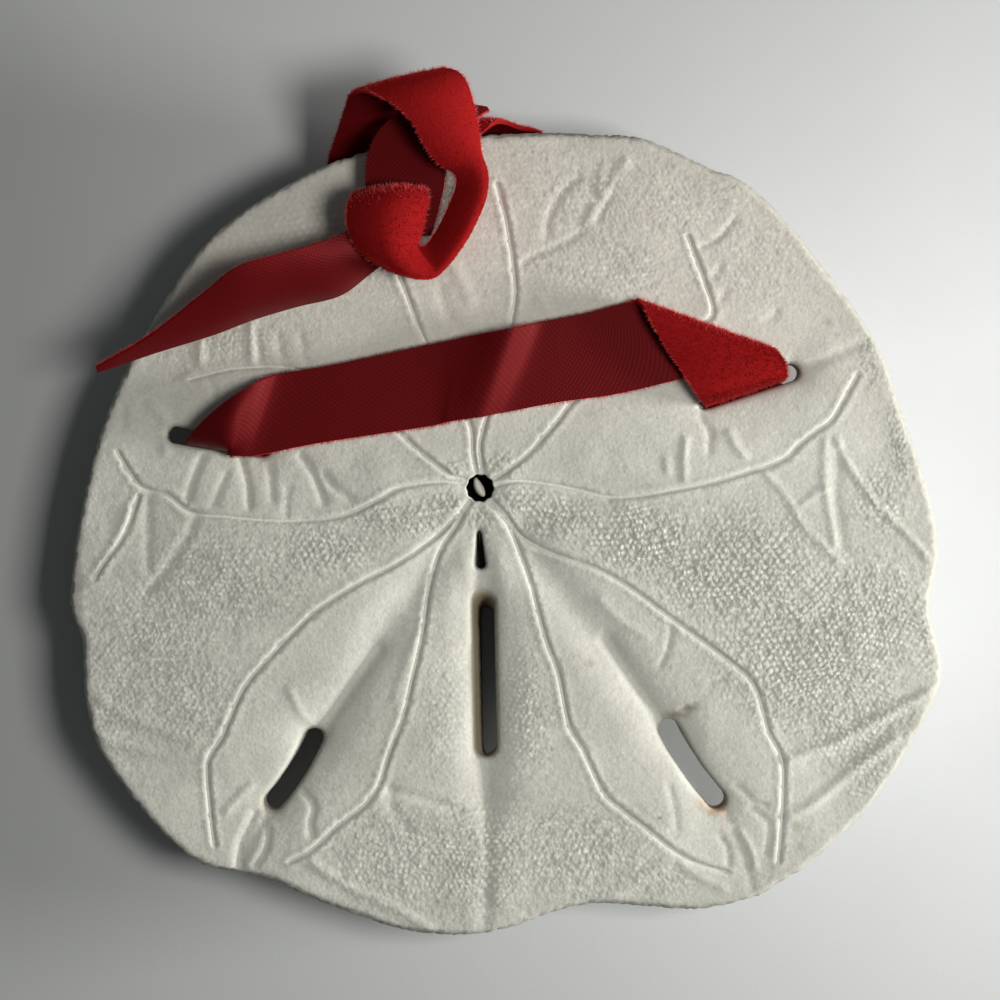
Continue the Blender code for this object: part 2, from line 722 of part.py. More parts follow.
def make_object(name, shape, material):
    """Make a named object from points and faces."""
    points, faces = shape
    mesh = bpy.data.meshes.new(name)
    mesh.from_pydata([tuple(point) for point in points], [], faces)
    mesh.validate()
    mesh.shade_smooth()
    mesh.set_sharp_from_angle(angle=math.radians(40))
    mesh.materials.append(material)
    piece = bpy.data.objects.new(name, mesh)
    bpy.context.scene.collection.objects.link(piece)
    return piece


def main():
    """Clear the scene and build the ornament."""
    for old in list(bpy.data.objects):
        bpy.data.objects.remove(old, do_unlink=True)
    make_object("sand_dollar", build_shell(), make_material("shell", SHELL_COLOUR, 0.85))
    make_object("ribbon", build_ribbon(), make_material("ribbon", RIBBON_COLOUR, 0.6))
    make_object("jaw_tooth", build_tooth(), make_material("tooth", TOOTH_COLOUR, 0.5))


main()
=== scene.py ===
"""A keyhole sand dollar on a velvet ribbon, lying on pale paper with its mouth side up.

The shell, the ribbon and the jaw piece stand where the solids of the part stand. The shell gets
its grain, grooves and wrinkles, and the ribbon gets its satin face, its pile and its fringe.
"""

import logging
import math
from dataclasses import dataclass, field
from enum import Enum

import bpy
import numpy as np
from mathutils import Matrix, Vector
from mathutils.geometry import delaunay_2d_cdt


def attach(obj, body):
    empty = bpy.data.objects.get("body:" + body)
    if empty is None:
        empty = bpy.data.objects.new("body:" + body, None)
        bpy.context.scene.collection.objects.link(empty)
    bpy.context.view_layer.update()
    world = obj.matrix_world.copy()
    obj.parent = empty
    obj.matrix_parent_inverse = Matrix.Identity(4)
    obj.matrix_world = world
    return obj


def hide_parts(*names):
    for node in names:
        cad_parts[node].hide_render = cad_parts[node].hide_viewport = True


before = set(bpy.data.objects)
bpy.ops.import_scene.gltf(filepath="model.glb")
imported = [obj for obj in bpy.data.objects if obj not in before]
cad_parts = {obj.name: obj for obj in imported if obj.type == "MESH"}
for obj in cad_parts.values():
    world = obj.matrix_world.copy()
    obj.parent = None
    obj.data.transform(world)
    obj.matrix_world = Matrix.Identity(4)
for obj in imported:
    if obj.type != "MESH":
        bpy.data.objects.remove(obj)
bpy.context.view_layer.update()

MM = 0.001

# The ribbon, and the levels at which it stands in a slot: 0 is the far side and 1 the mouth side
RIBBON_WIDTH = 10.0 * MM
RIBBON_THICKNESS = 0.8 * MM
LAYER_GAP = 0.5 * MM
SLOT_LEVELS = (-0.16, 0.3, 0.94)

# The picture: how long a pixel is at the height of the face, and where the camera stands
RIBBON_PIXELS = 79.0
PIXEL = RIBBON_WIDTH / RIBBON_PIXELS
MOUTH_PIXEL = (480, 488)
VIEW_PIXEL = (500, 500)
VIEW_DISTANCE = 345.0 * MM
PICTURE_SIZE = 1000

# The shell's two faces and its rounded rim
FACE_HEIGHT = 11.0 * MM
FACE_FALL = 0.5 * MM
MARGIN_LIFT = 8.0 * MM
REST_RADIUS = 14.0 * MM
DOME_POWER = 1.25
RIM_INSET = 0.75 * MM
RIM_REACH = 0.5 * MM
PATH_STEP = 0.45 * MM

# The food grooves, the lines of points across each, the low banks beside them, and the valleys
GROOVE_WIDTH = 0.52 * MM
GROOVE_DEPTH = 0.33 * MM
GROOVE_SHOULDER = 1.15
GROOVE_REACH = 4.0 * MM
GROOVE_LINES = (0.0, -0.28, 0.28, -0.58, 0.58)
BANK_RISE = 0.08 * MM
BANK_PLACE = 0.64 * MM
BANK_WIDTH = 0.30 * MM
VALLEY_WIDTH = 2.6 * MM
VALLEY_DEPTH = 0.64 * MM

# The edges of the slots, the mouth and the vent. A profile gives each ring's width and depth
# as shares.
FUNNEL_REACH = 2.2 * MM
FUNNEL_DEPTH = 0.7 * MM
SLOT_FLARE = 0.6 * MM
SLOT_LIP = 0.9 * MM
LEDGE_SHARE = 0.35
MOUTH_RADIUS = 1.8 * MM
MOUTH_DEPTH = 5.0 * MM
MOUTH_PROFILE = ((1.0, 0.06), (0.95, 0.16), (0.96, 0.4), (0.9, 0.75), (0.7, 1.0))
MOUTH_DISH = 0.25 * MM
MOUTH_DISH_WIDTH = 1.2 * MM
VENT_DEPTH = 2.2 * MM
VENT_PROFILE = ((0.05, 0.12), (-0.1, 0.3), (-0.2, 0.7), (-0.4, 1.0))

# The petals of the far side
PETAL_START = 15.5 * MM
PETAL_END = 29.0 * MM
PETAL_HALF_WIDTH = 4.2 * MM
PETAL_SWELL = (0.28, 0.67)
PETAL_POINTS = 22
PETAL_RISE = 0.8 * GROOVE_DEPTH
PETAL_BAR_PITCH = 0.95 * MM
PETAL_BARS = (0.75, 0.25)
PETAL_DIRECTIONS = (90.0, 170.0, 236.0, 308.0, 20.0)

# Outline of the shell, in picture pixels
OUTLINE = [
    (480, 137), (557, 135), (602, 137), (643, 141), (704, 168), (743, 184), (786, 224),
    (825, 273), (862, 323), (885, 367), (902, 419), (922, 477), (933, 520), (936, 556),
    (929, 591), (928, 616), (936, 645), (940, 668), (934, 696), (904, 753), (862, 812),
    (808, 862), (778, 881), (752, 896), (697, 907), (643, 904), (598, 901), (555, 909),
    (520, 922), (476, 932), (429, 931), (394, 925), (333, 904), (302, 891), (264, 875),
    (205, 863), (170, 837), (136, 799), (103, 752), (89, 710), (85, 670), (84, 640),
    (74, 611), (73, 586), (80, 528), (90, 480), (106, 422), (131, 365), (168, 299),
    (198, 256), (225, 228), (264, 200), (300, 180), (328, 166), (364, 155), (410, 145),
    (445, 139),
]

# Slots: one end, the other end and the width, in picture pixels
SLOTS = [
    ((483, 592), (486, 758), 22),
    ((318, 731), (268, 810), 19),
    ((664, 722), (722, 808), 20),
    ((165, 433), (268, 452), 17),
    ((800, 369), (700, 406), 17),
]
# In the same order: how far a slot's middle bends, how far its first end steps in, how much each
# of its ends narrows, and how much its lower wall leans in
SLOT_BENDS = (0.0, 0.35 * MM, -0.35 * MM, 0.0, 0.0)
SLOT_LEDGES = (2.3 * MM, 0.0, 0.0, 0.0, 0.0)
SLOT_ENDS = ((0.0, 0.0), (0.0, 0.0), (0.0, 0.0), (0.0, 0.34), (0.0, 0.40))
SLOT_LEANS = (0.75, 0.0, 0.0, 0.0, 0.0)

# The vent, given as a slot is, and how much its ends narrow
VENT = ((479, 530), (481, 570), 12)
VENT_ENDS = (0.5, 0.0)

# Food grooves, in picture pixels
GROOVES = [
    [(491, 500), (505, 514), (520, 535), (545, 550), (574, 561), (597, 569), (629, 587),
     (667, 615), (705, 643), (740, 670), (757, 691), (769, 732), (780, 753), (784, 775),
     (782, 827), (779, 862)],
    [(489, 503), (502, 517), (512, 533), (522, 558), (532, 588), (540, 618), (548, 646),
     (559, 676), (569, 725), (583, 750), (604, 793), (622, 810), (648, 830), (674, 851),
     (698, 864), (728, 873)],
    [(470, 500), (466, 504), (450, 523), (434, 538), (400, 562), (360, 583), (332, 600),
     (309, 617), (270, 657), (246, 685), (230, 718), (221, 740), (210, 755), (207, 773),
     (211, 822), (214, 845)],
    [(470, 503), (462, 515), (455, 528), (442, 547), (434, 569), (428, 595), (424, 625),
     (418, 655), (412, 680), (404, 714), (388, 757), (379, 785), (364, 806), (339, 825),
     (312, 850), (290, 862)],
    [(466, 485), (460, 483), (437, 482), (400, 488), (378, 500), (343, 516), (297, 521), (259, 520),
     (228, 517), (192, 513), (167, 495), (140, 486), (117, 452)],
    [(138, 496), (131, 518), (121, 539), (106, 560), (94, 579)],
    [(494, 486), (500, 484), (520, 481), (549, 484), (580, 490), (610, 497), (640, 496),
     (675, 490), (711, 483), (742, 474), (783, 460), (799, 445), (818, 430), (832, 420),
     (844, 400), (858, 375)],
    [(492, 480), (496, 478), (509, 469), (526, 456), (543, 438), (557, 422), (580, 395), (640, 352),
     (680, 332), (712, 316), (706, 285), (694, 252), (688, 236)],
    [(482, 474), (482, 466), (480, 445), (486, 420), (505, 350), (515, 300), (514, 270), (510, 241),
     (505, 214), (497, 184)],
    [(477, 474), (473, 455), (469, 422), (440, 372), (420, 330), (409, 300), (398, 272)],
    [(468, 481), (462, 478), (451, 476), (434, 463), (417, 449), (403, 436), (360, 400), (300, 370),
     (240, 368), (189, 379)],
]

# Valleys that lead from the mouth into the lower slots, in picture pixels
VALLEYS = [
    [(520, 545), (560, 590), (600, 640), (640, 695), (672, 738)],
    [(445, 545), (412, 595), (380, 640), (345, 695), (315, 740)],
    [(480, 545), (482, 600), (485, 755), (487, 800)],
]

# Wrinkles: the line in picture pixels, and the width and the rise in millimetres. A rise below
# 0 is a furrow.
WRINKLES = [
    ([(202, 456), (192, 481), (187, 500)], 0.5, -0.22),
    ([(226, 474), (213, 504)], 0.5, -0.16),
    ([(240, 458), (247, 483), (249, 506)], 0.5, -0.24),
    ([(270, 468), (272, 500)], 0.5, -0.18),
    ([(288, 487), (286, 516)], 0.4, -0.14),
    ([(301, 456), (314, 477), (324, 502)], 0.5, -0.24),
    ([(324, 475), (335, 489), (351, 498)], 0.5, -0.22),
    ([(686, 438), (684, 461), (685, 479)], 0.4, 0.22),
    ([(730, 432), (736, 446), (744, 456)], 0.4, 0.22),
    ([(711, 430), (709, 452)], 0.4, -0.17),
    ([(666, 457), (668, 472)], 0.4, 0.16),
    ([(700, 417), (712, 436)], 0.4, -0.17),
    ([(838, 440), (844, 457), (860, 481), (875, 502), (895, 522), (915, 542), (929, 560)],
     0.4, 0.21),
    ([(766, 473), (787, 497), (803, 526), (824, 546), (838, 560)], 0.4, 0.18),
    ([(826, 440), (825, 481), (832, 522), (835, 546)], 0.4, 0.17),
    ([(801, 506), (820, 491), (826, 489)], 0.4, 0.16),
    ([(841, 452), (836, 500), (843, 548)], 0.7, -0.14),
    ([(701, 247), (721, 236), (735, 218)], 0.36, -0.17),
    ([(522, 264), (532, 256), (561, 244), (586, 228), (600, 212), (611, 193), (621, 173)],
     0.36, -0.17),
    ([(547, 236), (549, 216), (562, 191), (578, 177)], 0.5, -0.15),
    ([(590, 189), (600, 201)], 0.4, -0.10),
    ([(586, 205), (582, 220)], 0.4, -0.10),
    ([(604, 163), (601, 178), (600, 191)], 0.4, 0.12),
    ([(626, 161), (615, 181), (602, 199), (588, 224)], 0.6, 0.20),
    ([(711, 281), (721, 265)], 0.4, -0.12),
    ([(718, 305), (727, 289)], 0.4, -0.12),
    ([(776, 310), (774, 318), (766, 320)], 0.4, -0.12),
    ([(672, 626), (667, 651), (660, 665)], 0.4, -0.14),
    ([(600, 600), (622, 622), (646, 636)], 0.5, 0.14),
    ([(711, 683), (726, 676)], 0.4, -0.16),
    ([(226, 812), (237, 799), (251, 786)], 0.45, 0.20),
    ([(254, 814), (245, 833), (239, 846), (239, 869)], 0.5, -0.34),
    ([(268, 831), (266, 848), (255, 866)], 0.45, -0.26),
    ([(302, 791), (312, 802), (314, 810), (310, 823), (312, 835)], 0.45, -0.30),
    ([(312, 864), (339, 881), (358, 892), (390, 906), (429, 929)], 0.6, 0.22),
    ([(390, 791), (393, 812), (408, 828)], 0.8, -0.14),
    ([(414, 640), (404, 670), (396, 700)], 0.6, 0.14),
    ([(290, 690), (300, 712), (312, 724)], 0.5, 0.14),
    ([(378, 650), (345, 697), (322, 732)], 0.9, -0.55),
    ([(608, 640), (640, 690), (662, 722)], 0.9, -0.50),
    ([(666, 717), (678, 718), (686, 710)], 0.45, -0.35),
    ([(684, 714), (694, 706)], 0.4, -0.30),
    ([(701, 797), (704, 800)], 0.4, 0.30),
    ([(706, 806), (709, 807)], 0.35, 0.30),
    ([(713, 811), (716, 812)], 0.4, 0.32),
    ([(721, 814), (722, 811)], 0.35, 0.28),
    ([(738, 786), (757, 804), (766, 806)], 0.4, -0.17),
    ([(751, 808), (769, 823), (771, 833), (767, 853)], 0.4, -0.17),
    ([(720, 837), (728, 849), (729, 865)], 0.4, -0.17),
    ([(741, 833), (753, 853), (755, 868)], 0.4, 0.17),
    ([(669, 786), (675, 810), (677, 831)], 0.4, -0.15),
    ([(681, 865), (702, 878), (724, 888)], 0.6, 0.20),
    ([(152, 405), (163, 417), (166, 427), (165, 450)], 0.7, 0.24),
    ([(149, 389), (169, 386), (191, 376)], 0.5, 0.18),
    ([(122, 407), (122, 426)], 0.5, -0.18),
    ([(200, 342), (200, 362)], 0.5, 0.18),
    ([(251, 322), (252, 362)], 0.5, 0.22),
    ([(208, 378), (214, 395)], 0.5, -0.16),
    ([(540, 300), (560, 330)], 0.6, 0.12),
    ([(466, 560), (470, 590), (468, 640)], 1.0, 0.20),
    ([(497, 560), (502, 600), (500, 680)], 1.0, 0.16),
    ([(440, 290), (450, 320), (468, 336)], 0.8, -0.14),
    ([(452, 262), (470, 300)], 0.8, 0.14),
    ([(90, 735), (150, 752), (205, 757)], 0.8, 0.22),
    ([(100, 700), (140, 722), (196, 742)], 0.7, 0.16),
    ([(128, 508), (115, 545), (98, 575)], 0.5, 0.16),
    ([(148, 493), (147, 527), (148, 569)], 0.6, -0.14),
    ([(194, 514), (190, 531), (169, 565), (146, 592)], 0.6, -0.16),
    ([(389, 790), (424, 800), (460, 811)], 0.6, -0.24),
    ([(790, 760), (834, 743), (875, 723), (930, 692)], 0.6, 0.32),
    ([(792, 816), (814, 804), (845, 778), (896, 739)], 0.6, 0.28),
    ([(812, 766), (850, 752), (905, 716)], 1.2, -0.14),
    ([(600, 905), (640, 880), (668, 862)], 0.9, 0.18),
    ([(160, 432), (128, 424), (106, 418)], 0.7, -0.20),
    ([(268, 812), (250, 842), (240, 866)], 0.8, -0.26),
    ([(724, 812), (742, 846), (752, 892)], 0.6, -0.11),
    ([(486, 768), (488, 850), (484, 926)], 0.9, -0.20),
    ([(805, 368), (840, 352), (868, 340)], 0.7, -0.20),
    ([(255, 330), (262, 366)], 0.4, -0.14),
    ([(278, 336), (284, 370)], 0.4, -0.14),
    ([(300, 334), (306, 366)], 0.4, -0.12),
]

# Fields of coarse grains: the middle and the reach in picture pixels, and the strength
COARSE_FIELDS = [
    ((560, 520), (45, 22), 0.6), ((640, 540), (62, 34), 0.7), ((740, 570), (80, 62), 0.7),
    ((905, 440), (14, 56), 0.45), ((874, 348), (14, 34), 0.40), ((928, 620), (12, 60), 0.45),
    ((850, 620), (84, 66), 0.6), ((850, 720), (66, 44), 0.5), ((810, 650), (90, 76), 0.7),
    ((880, 500), (30, 40), 0.4), ((870, 760), (30, 40), 0.45),
    ((400, 520), (48, 20), 0.55), ((330, 550), (60, 28), 0.50), ((230, 580), (80, 50), 0.36),
    ((150, 650), (66, 72), 0.32), ((190, 700), (44, 50), 0.34), ((120, 700), (34, 60), 0.28),
    ((630, 200), (110, 46), 0.18), ((760, 260), (60, 50), 0.18), ((600, 270), (70, 36), 0.22),
    ((320, 240), (90, 54), 0.20), ((220, 320), (70, 46), 0.22), ((430, 180), (30, 30), 0.12),
    ((480, 860), (70, 60), 0.42), ((400, 860), (70, 50), 0.38), ((580, 855), (80, 46), 0.42),
    ((445, 700), (26, 70), 0.3), ((525, 700), (26, 70), 0.3), ((660, 880), (40, 20), 0.35),
    ((522, 503), (30, 16), 0.6), ((481, 520), (13, 16), 0.5), ((446, 503), (28, 12), 0.55),
    ((505, 466), (20, 14), 0.5), ((455, 470), (16, 10), 0.4),
]
COARSE_GAIN = 1.5

# Bands between a pair of grooves, where the grain is finer: the line and the half width in
# picture pixels. The grain is finest in a core that is this share of the width.
SMOOTH_BANDS = [
    ([(560, 600), (650, 700), (760, 860)], 62.0),
    ([(412, 600), (335, 710), (240, 850)], 62.0),
    ([(300, 480), (120, 500)], 34.0),
    ([(680, 450), (820, 420)], 34.0),
]
BAND_CORE = 0.3

# Stains: the middle and the reach in picture pixels, and the strength
BROWN_STAINS = [
    ((677, 715), (10, 4), 0.8), ((689, 708), (6, 4), 0.7), ((590, 664), (4, 3), 0.5),
    ((474, 640), (8, 60), 0.25), ((664, 717), (4, 4), 0.5), ((724, 806), (5, 8), 0.5),
    ((797, 827), (5, 5), 0.35), ((802, 848), (4, 4), 0.3), ((828, 322), (4, 4), 0.4),
    ((268, 806), (12, 14), 0.25), ((318, 738), (14, 10), 0.22),
]
ORANGE_STAINS = [
    ((716, 810), (13, 6), 0.7), ((704, 803), (6, 5), 0.5), ((724, 812), (5, 9), 0.4),
]

# The ribbon's route from the pointed tail to the hidden end. Each station gives the inner edge
# and the outer edge, in picture pixels with the height in millimetres, and how far the ribbon
# bows between them towards its satin face, in millimetres. A crossing gives the middle line
# behind the shell, and a slot span the two edges where the ribbon stands in a slot.
TAIL = [
    ((96, 367, 12.2), (97, 371, 11.8), 0.0),
    ((150, 335, 13.8), (155, 351, 11.7), 0.1),
    ((200, 296, 16.0), (212, 333, 11.6), 0.5),
    ((237, 267, 17.4), (254, 317, 11.5), 1.0),
    ((280, 254, 17.0), (298, 304, 11.5), 1.0),
    ((318, 243, 16.2), (338, 294, 11.5), 1.1),
    ((346, 232, 15.1), (364, 276, 11.8), 1.0),
]
KNOT = [
    ((360, 216, 14.4), (390, 256, 13.6), 0.2),
    ((364, 204, 14.3), (412, 226, 14.1), 0.0),
    ((360, 194, 14.8), (421, 202, 14.4), 0.0),
    ((354, 195, 15.2), (424, 192, 15.0), -0.5),
    ((350, 201, 15.8), (427, 193, 15.6), -1.5),
    ((348, 212, 16.2), (427, 203, 16.0), -2.2),
    ((349, 228, 16.2), (424, 219, 16.0), -2.4),
    ((357, 246, 15.8), (420, 233, 15.8), -2.4),
    ((374, 261, 14.9), (416, 243, 15.4), -2.6),
    ((396, 271, 13.7), (418, 247, 14.9), -3.0),
    ((420, 273, 12.0), (425, 247, 14.0), -3.5),
    ((441, 260, 11.8), (433, 238, 13.7), -3.6),
    ((456, 243, 11.8), (443, 221, 13.8), -3.6),
    ((469, 221, 11.9), (451, 203, 14.0), -3.6),
    ((477, 197, 12.1), (457, 186, 14.4), -3.4),
    ((480, 170, 12.5), (455, 173, 15.2), -3.0),
    ((479, 145, 13.0), (438, 162, 16.2), -2.2),
    ((475, 120, 13.6), (424, 144, 17.0), -1.6),
    ((471, 99, 14.2), (413, 123, 17.4), -1.1),
    ((466, 83, 14.8), (398, 108, 17.4), -0.8),
    ((458, 73, 14.8), (378, 96, 16.9), -0.5),
]
BEHIND_LEFT = [
    ((446, 70, 14.0), (360, 90, 15.6), -0.3),
    ((441, 71, 12.7), (350, 96, 13.8), 0.0),
    ((434, 84, 11.2), (346, 106, 12.3), 0.2),
    ((425, 112, 9.2), (340, 124, 10.4), 0.2),
    ((415, 136, 7.1), (333, 146, 8.0), 0.1),
    ((402, 165, 5.7), (328, 164, 6.2), 0.4),
]
HALF_TWIST = [
    ((380, 192, 4.3), (330, 190, 2.6), 2.4),
    ((350, 222, 4.2), (338, 222, 0.9), 3.6),
    ((300, 250, 4.2), (340, 256, 2.6), 2.2),
]
CROSSING_LEFT = [(296, 300), (282, 334), (265, 370), (247, 410)]
LEFT_SLOT_SPAN = ((187, 442), (260, 453))
STRAP = [
    ((189, 439, 11.2), (254, 453, 11.0), 0.2),
    ((197, 428, 12.2), (242, 453, 11.3), 0.6),
    ((214, 412, 13.0), (234, 454, 11.5), 0.8),
    ((236, 395, 13.3), (230, 455, 11.7), 0.8),
    ((257, 382, 13.0), (231, 455, 12.0), 0.4),
    ((269, 377, 12.3), (242, 456, 12.1), 0.1),
    ((284, 373, 11.9), (260, 455, 12.0), 0.0),
    ((330, 366, 11.8), (320, 443, 11.9), 0.0),
    ((420, 347, 11.8), (425, 427, 11.8), 0.0),
    ((468, 337, 12.2), (448, 422, 12.0), 0.0),
    ((498, 331, 12.9), (466, 419, 12.2), 0.0),
    ((514, 328, 13.1), (480, 417, 12.3), 0.0),
    ((528, 325, 12.5), (494, 414, 12.1), 0.0),
    ((540, 323, 11.9), (512, 411, 11.9), 0.0),
    ((560, 319, 11.8), (560, 402, 11.8), 0.0),
    ((590, 313, 11.7), (617, 394, 11.7), 0.0),
    ((613, 307, 11.7), (684, 378, 11.7), 0.0),
    ((627, 303, 11.7), (742, 362, 11.7), 0.0),
    ((636, 301, 12.1), (766, 351, 11.9), 0.0),
    ((640, 302, 13.0), (774, 350, 12.8), 0.0),
    ((645, 311, 13.8), (779, 354, 13.4), -0.1),
    ((660, 338, 13.9), (784, 360, 13.3), -0.4),
    ((683, 373, 13.4), (786, 367, 12.7), -0.5),
    ((702, 401, 12.2), (786, 375, 11.7), -0.3),
]
RIGHT_SLOT_SPAN = ((708, 404), (783, 378))
CROSSING_RIGHT = [(716, 352), (696, 334), (665, 306), (628, 270), (590, 232), (555, 197)]
HIDDEN_END = [
    ((494, 191, 4.6), (550, 142, 6.2), 0.0),
    ((474, 160, 5.7), (539, 131, 6.6), 0.0),
    ((456, 126, 7.2), (520, 127, 7.8), 0.0),
    ((448, 118, 8.9), (503, 121, 9.4), 0.0),
    ((440, 121, 10.7), (494, 123, 11.0), 0.0),
    ((421, 135, 11.5), (478, 137, 11.6), 0.0),
    ((392, 160, 11.5), (448, 166, 11.5), 0.0),
    ((374, 195, 11.5), (440, 194, 11.5), 0.0),
    ((370, 226, 11.5), (434, 224, 11.5), 0.0),
    ((369, 236, 12.2), (431, 233, 12.2), 0.0),
    ((368, 227, 13.0), (434, 226, 13.0), 0.0),
    ((366, 195, 13.0), (443, 191, 13.0), 0.0),
    ((367, 160, 13.1), (446, 170, 13.2), 0.0),
    ((380, 130, 13.0), (453, 146, 13.0), 0.0),
    ((410, 108, 12.6), (470, 124, 12.5), 0.0),
    ((452, 103, 12.3), (482, 114, 12.2), 0.0),
    ((487, 107, 12.1), (489, 110, 12.1), 0.0),
]

# How the random values are mixed, and how many points are measured at once
MIX_FACTORS = (73856093, 19349663, 83492791)
MIX_LAST = 1274126177
MIX_MASK = 0x7FFFFFFF
HALF_RANGE = 32767.5
POINTS_AT_ONCE = 4000
TINY = 1e-18
SPOT_POWER = 1.5

# What a noise is stretched from, in most finishes
CLOUD_RANGE = (0.35, 0.65)

Colour = tuple[float, float, float]
log = logging.getLogger("sand_dollar")


class Side(Enum):
    """The two broad faces of the shell."""

    MOUTH = "mouth side"
    FAR = "far side"


class Cloth(Enum):
    """The finishes of the ribbon, in the order of its material slots."""

    SATIN = 0
    BACKING = 1


# Plan positions and distances

def plan(points: list) -> np.ndarray:
    """Turn picture pixels on the shell's face into metres from the mouth.

    Args:
        points: pixel pairs.

    Returns:
        One row of x and y for each pair.
    """
    picked = np.asarray(points, dtype=float)
    return (picked - MOUTH_PIXEL) * (PIXEL, -PIXEL)


def place(px: float, py: float, height: float) -> np.ndarray:
    """Find the point in space that shows at a picture pixel.

    Args:
        px: pixel column.
        py: pixel row.
        height: height of the point in metres.

    Returns:
        The point in metres.
    """
    shrink = (VIEW_DISTANCE + FACE_HEIGHT - height) / VIEW_DISTANCE
    x = (VIEW_PIXEL[0] + (px - VIEW_PIXEL[0]) * shrink - MOUTH_PIXEL[0]) * PIXEL
    y = (MOUTH_PIXEL[1] - VIEW_PIXEL[1] - (py - VIEW_PIXEL[1]) * shrink) * PIXEL
    return np.array((x, y, height))


def smooth_path(points: np.ndarray, step: float, closed: bool = False) -> np.ndarray:
    """Sample a smooth curve through points.

    Args:
        points: the points that it goes through, one a row.
        step: about how far apart the samples are.
        closed: whether the last point leads back to the first.

    Returns:
        The samples, one a row.
    """
    knots = np.asarray(points, dtype=float)
    count = len(knots)
    samples = []
    for i in range(count if closed else count - 1):
        if closed:
            p0, p1, p2, p3 = (knots[(i + k) % count] for k in (-1, 0, 1, 2))
        else:
            p0, p1, p2, p3 = (knots[min(max(i + k, 0), count - 1)] for k in (-1, 0, 1, 2))
        pieces = max(1, round(np.abs(p2 - p1).max() / step))
        for t in np.arange(pieces) / pieces:
            samples.append(0.5 * (2 * p1 + (p2 - p0) * t
                                  + (2 * p0 - 5 * p1 + 4 * p2 - p3) * t ** 2
                                  + (3 * p1 - p0 - 3 * p2 + p3) * t ** 3))
    if not closed:
        samples.append(knots[-1])
    return np.array(samples)


def path_distance(points: np.ndarray, path: np.ndarray, reach: float) -> np.ndarray:
    """Measure how far points are from a path, as far as reach.

    Args:
        points: plan points.
        path: the path's points.
        reach: the distance that stands for anything further.

    Returns:
        One distance for each point.
    """
    result = np.full(len(points), reach)
    near = ((points > path.min(0) - reach) & (points < path.max(0) + reach)).all(1)
    starts, runs = path[:-1], np.diff(path, axis=0)
    lengths = np.maximum((runs ** 2).sum(1), TINY)
    numbers = np.flatnonzero(near)
    for part in np.array_split(numbers, max(1, len(numbers) // POINTS_AT_ONCE)):
        offsets = points[part][:, None, :] - starts[None]
        along = np.clip((offsets * runs).sum(2) / lengths, 0.0, 1.0)
        gap_shade_and_spots = offsets - along[..., None] * runs
        result[part] = np.minimum(np.sqrt((gap_shade_and_spots ** 2).sum(2).min(1)), reach)
    return result


def loop_distance(points: np.ndarray, loop: np.ndarray, reach: float) -> np.ndarray:
    """Measure how far points are from a closed loop, as far as reach."""
    return path_distance(points, np.vstack((loop, loop[:1])), reach)


def inside(points: np.ndarray, loop: np.ndarray) -> np.ndarray:
    """Say which points lie inside a closed loop.

    Args:
        points: plan points.
        loop: the loop's points in order.

    Returns:
        True or False for each point.
    """
    x, y = points[:, 0], points[:, 1]
    result = np.zeros(len(points), dtype=bool)
    for (x1, y1), (x2, y2) in zip(loop, np.roll(loop, -1, axis=0)):
        if y1 != y2:
            crosses = (y1 > y) != (y2 > y)
            result ^= crosses & (x < x1 + (y - y1) * (x2 - x1) / (y2 - y1))
    return result


def on_face(points: np.ndarray, loops: list[np.ndarray]) -> np.ndarray:
    """Say which points lie on a face.

    Args:
        points: plan points.
        loops: the face's edge and the holes in it.

    Returns:
        True or False for each point.
    """
    result = inside(points, loops[0])
    for loop in loops[1:]:
        result &= ~inside(points, loop)
    return result


def mouth_distance(points: np.ndarray) -> np.ndarray:
    """Measure how far each point is from the middle of the mouth."""
    return np.hypot(points[:, 0], points[:, 1])


def ease(share: np.ndarray) -> np.ndarray:
    """Round off both ends of a rise from 0 to 1."""
    return share * share * (3 - 2 * share)


def blob(points: np.ndarray, middle: tuple, reach: tuple) -> np.ndarray:
    """Give a soft oval spot.

    Args:
        points: plan points.
        middle: its middle in picture pixels.
        reach: its half sizes in picture pixels.

    Returns:
        1 in the middle, falling to 0.
    """
    offset = (points - plan([middle])[0]) / (np.array(reach) * PIXEL)
    return np.exp(-(offset ** 2).sum(1) ** SPOT_POWER)


def strongest(points: np.ndarray, spots: list) -> np.ndarray:
    """Give the strongest of many soft spots.

    Args:
        points: plan points.
        spots: the middle and the reach in picture pixels, and the strength, of each.

    Returns:
        One value for each point.
    """
    result = np.zeros(len(points))
    for middle, reach, strength in spots:
        result = np.maximum(result, strength * blob(points, middle, reach))
    return result


@dataclass(frozen=True)
class Grain:
    """Smooth random values over a plane, the same each run."""

    size: float
    seed: int

    def corner(self, column: np.ndarray, row: np.ndarray) -> np.ndarray:
        """Give the random value of each cell corner.

        Args:
            column: the corners' columns.
            row: the corners' rows.

        Returns:
            One value from -1 to 1 for each corner.
        """
        first, second, third = MIX_FACTORS
        number = (column * first) ^ (row * second) ^ (self.seed * third)
        number = ((number ^ (number >> 13)) * MIX_LAST) & MIX_MASK
        return (number >> 8 & 0xFFFF) / HALF_RANGE - 1.0

    def at(self, points: np.ndarray) -> np.ndarray:
        """Give the value at plan points.

        Args:
            points: plan points in metres.

        Returns:
            One value from -1 to 1 for each point.
        """
        cells = points / self.size
        base = np.floor(cells).astype(np.int64)
        share = ease(cells - base)
        total = np.zeros(len(points))
        for dx in (0, 1):
            for dy in (0, 1):
                weight = np.abs(1 - dx - share[:, 0]) * np.abs(1 - dy - share[:, 1])
                total += weight * self.corner(base[:, 0] + dx, base[:, 1] + dy)
        return total


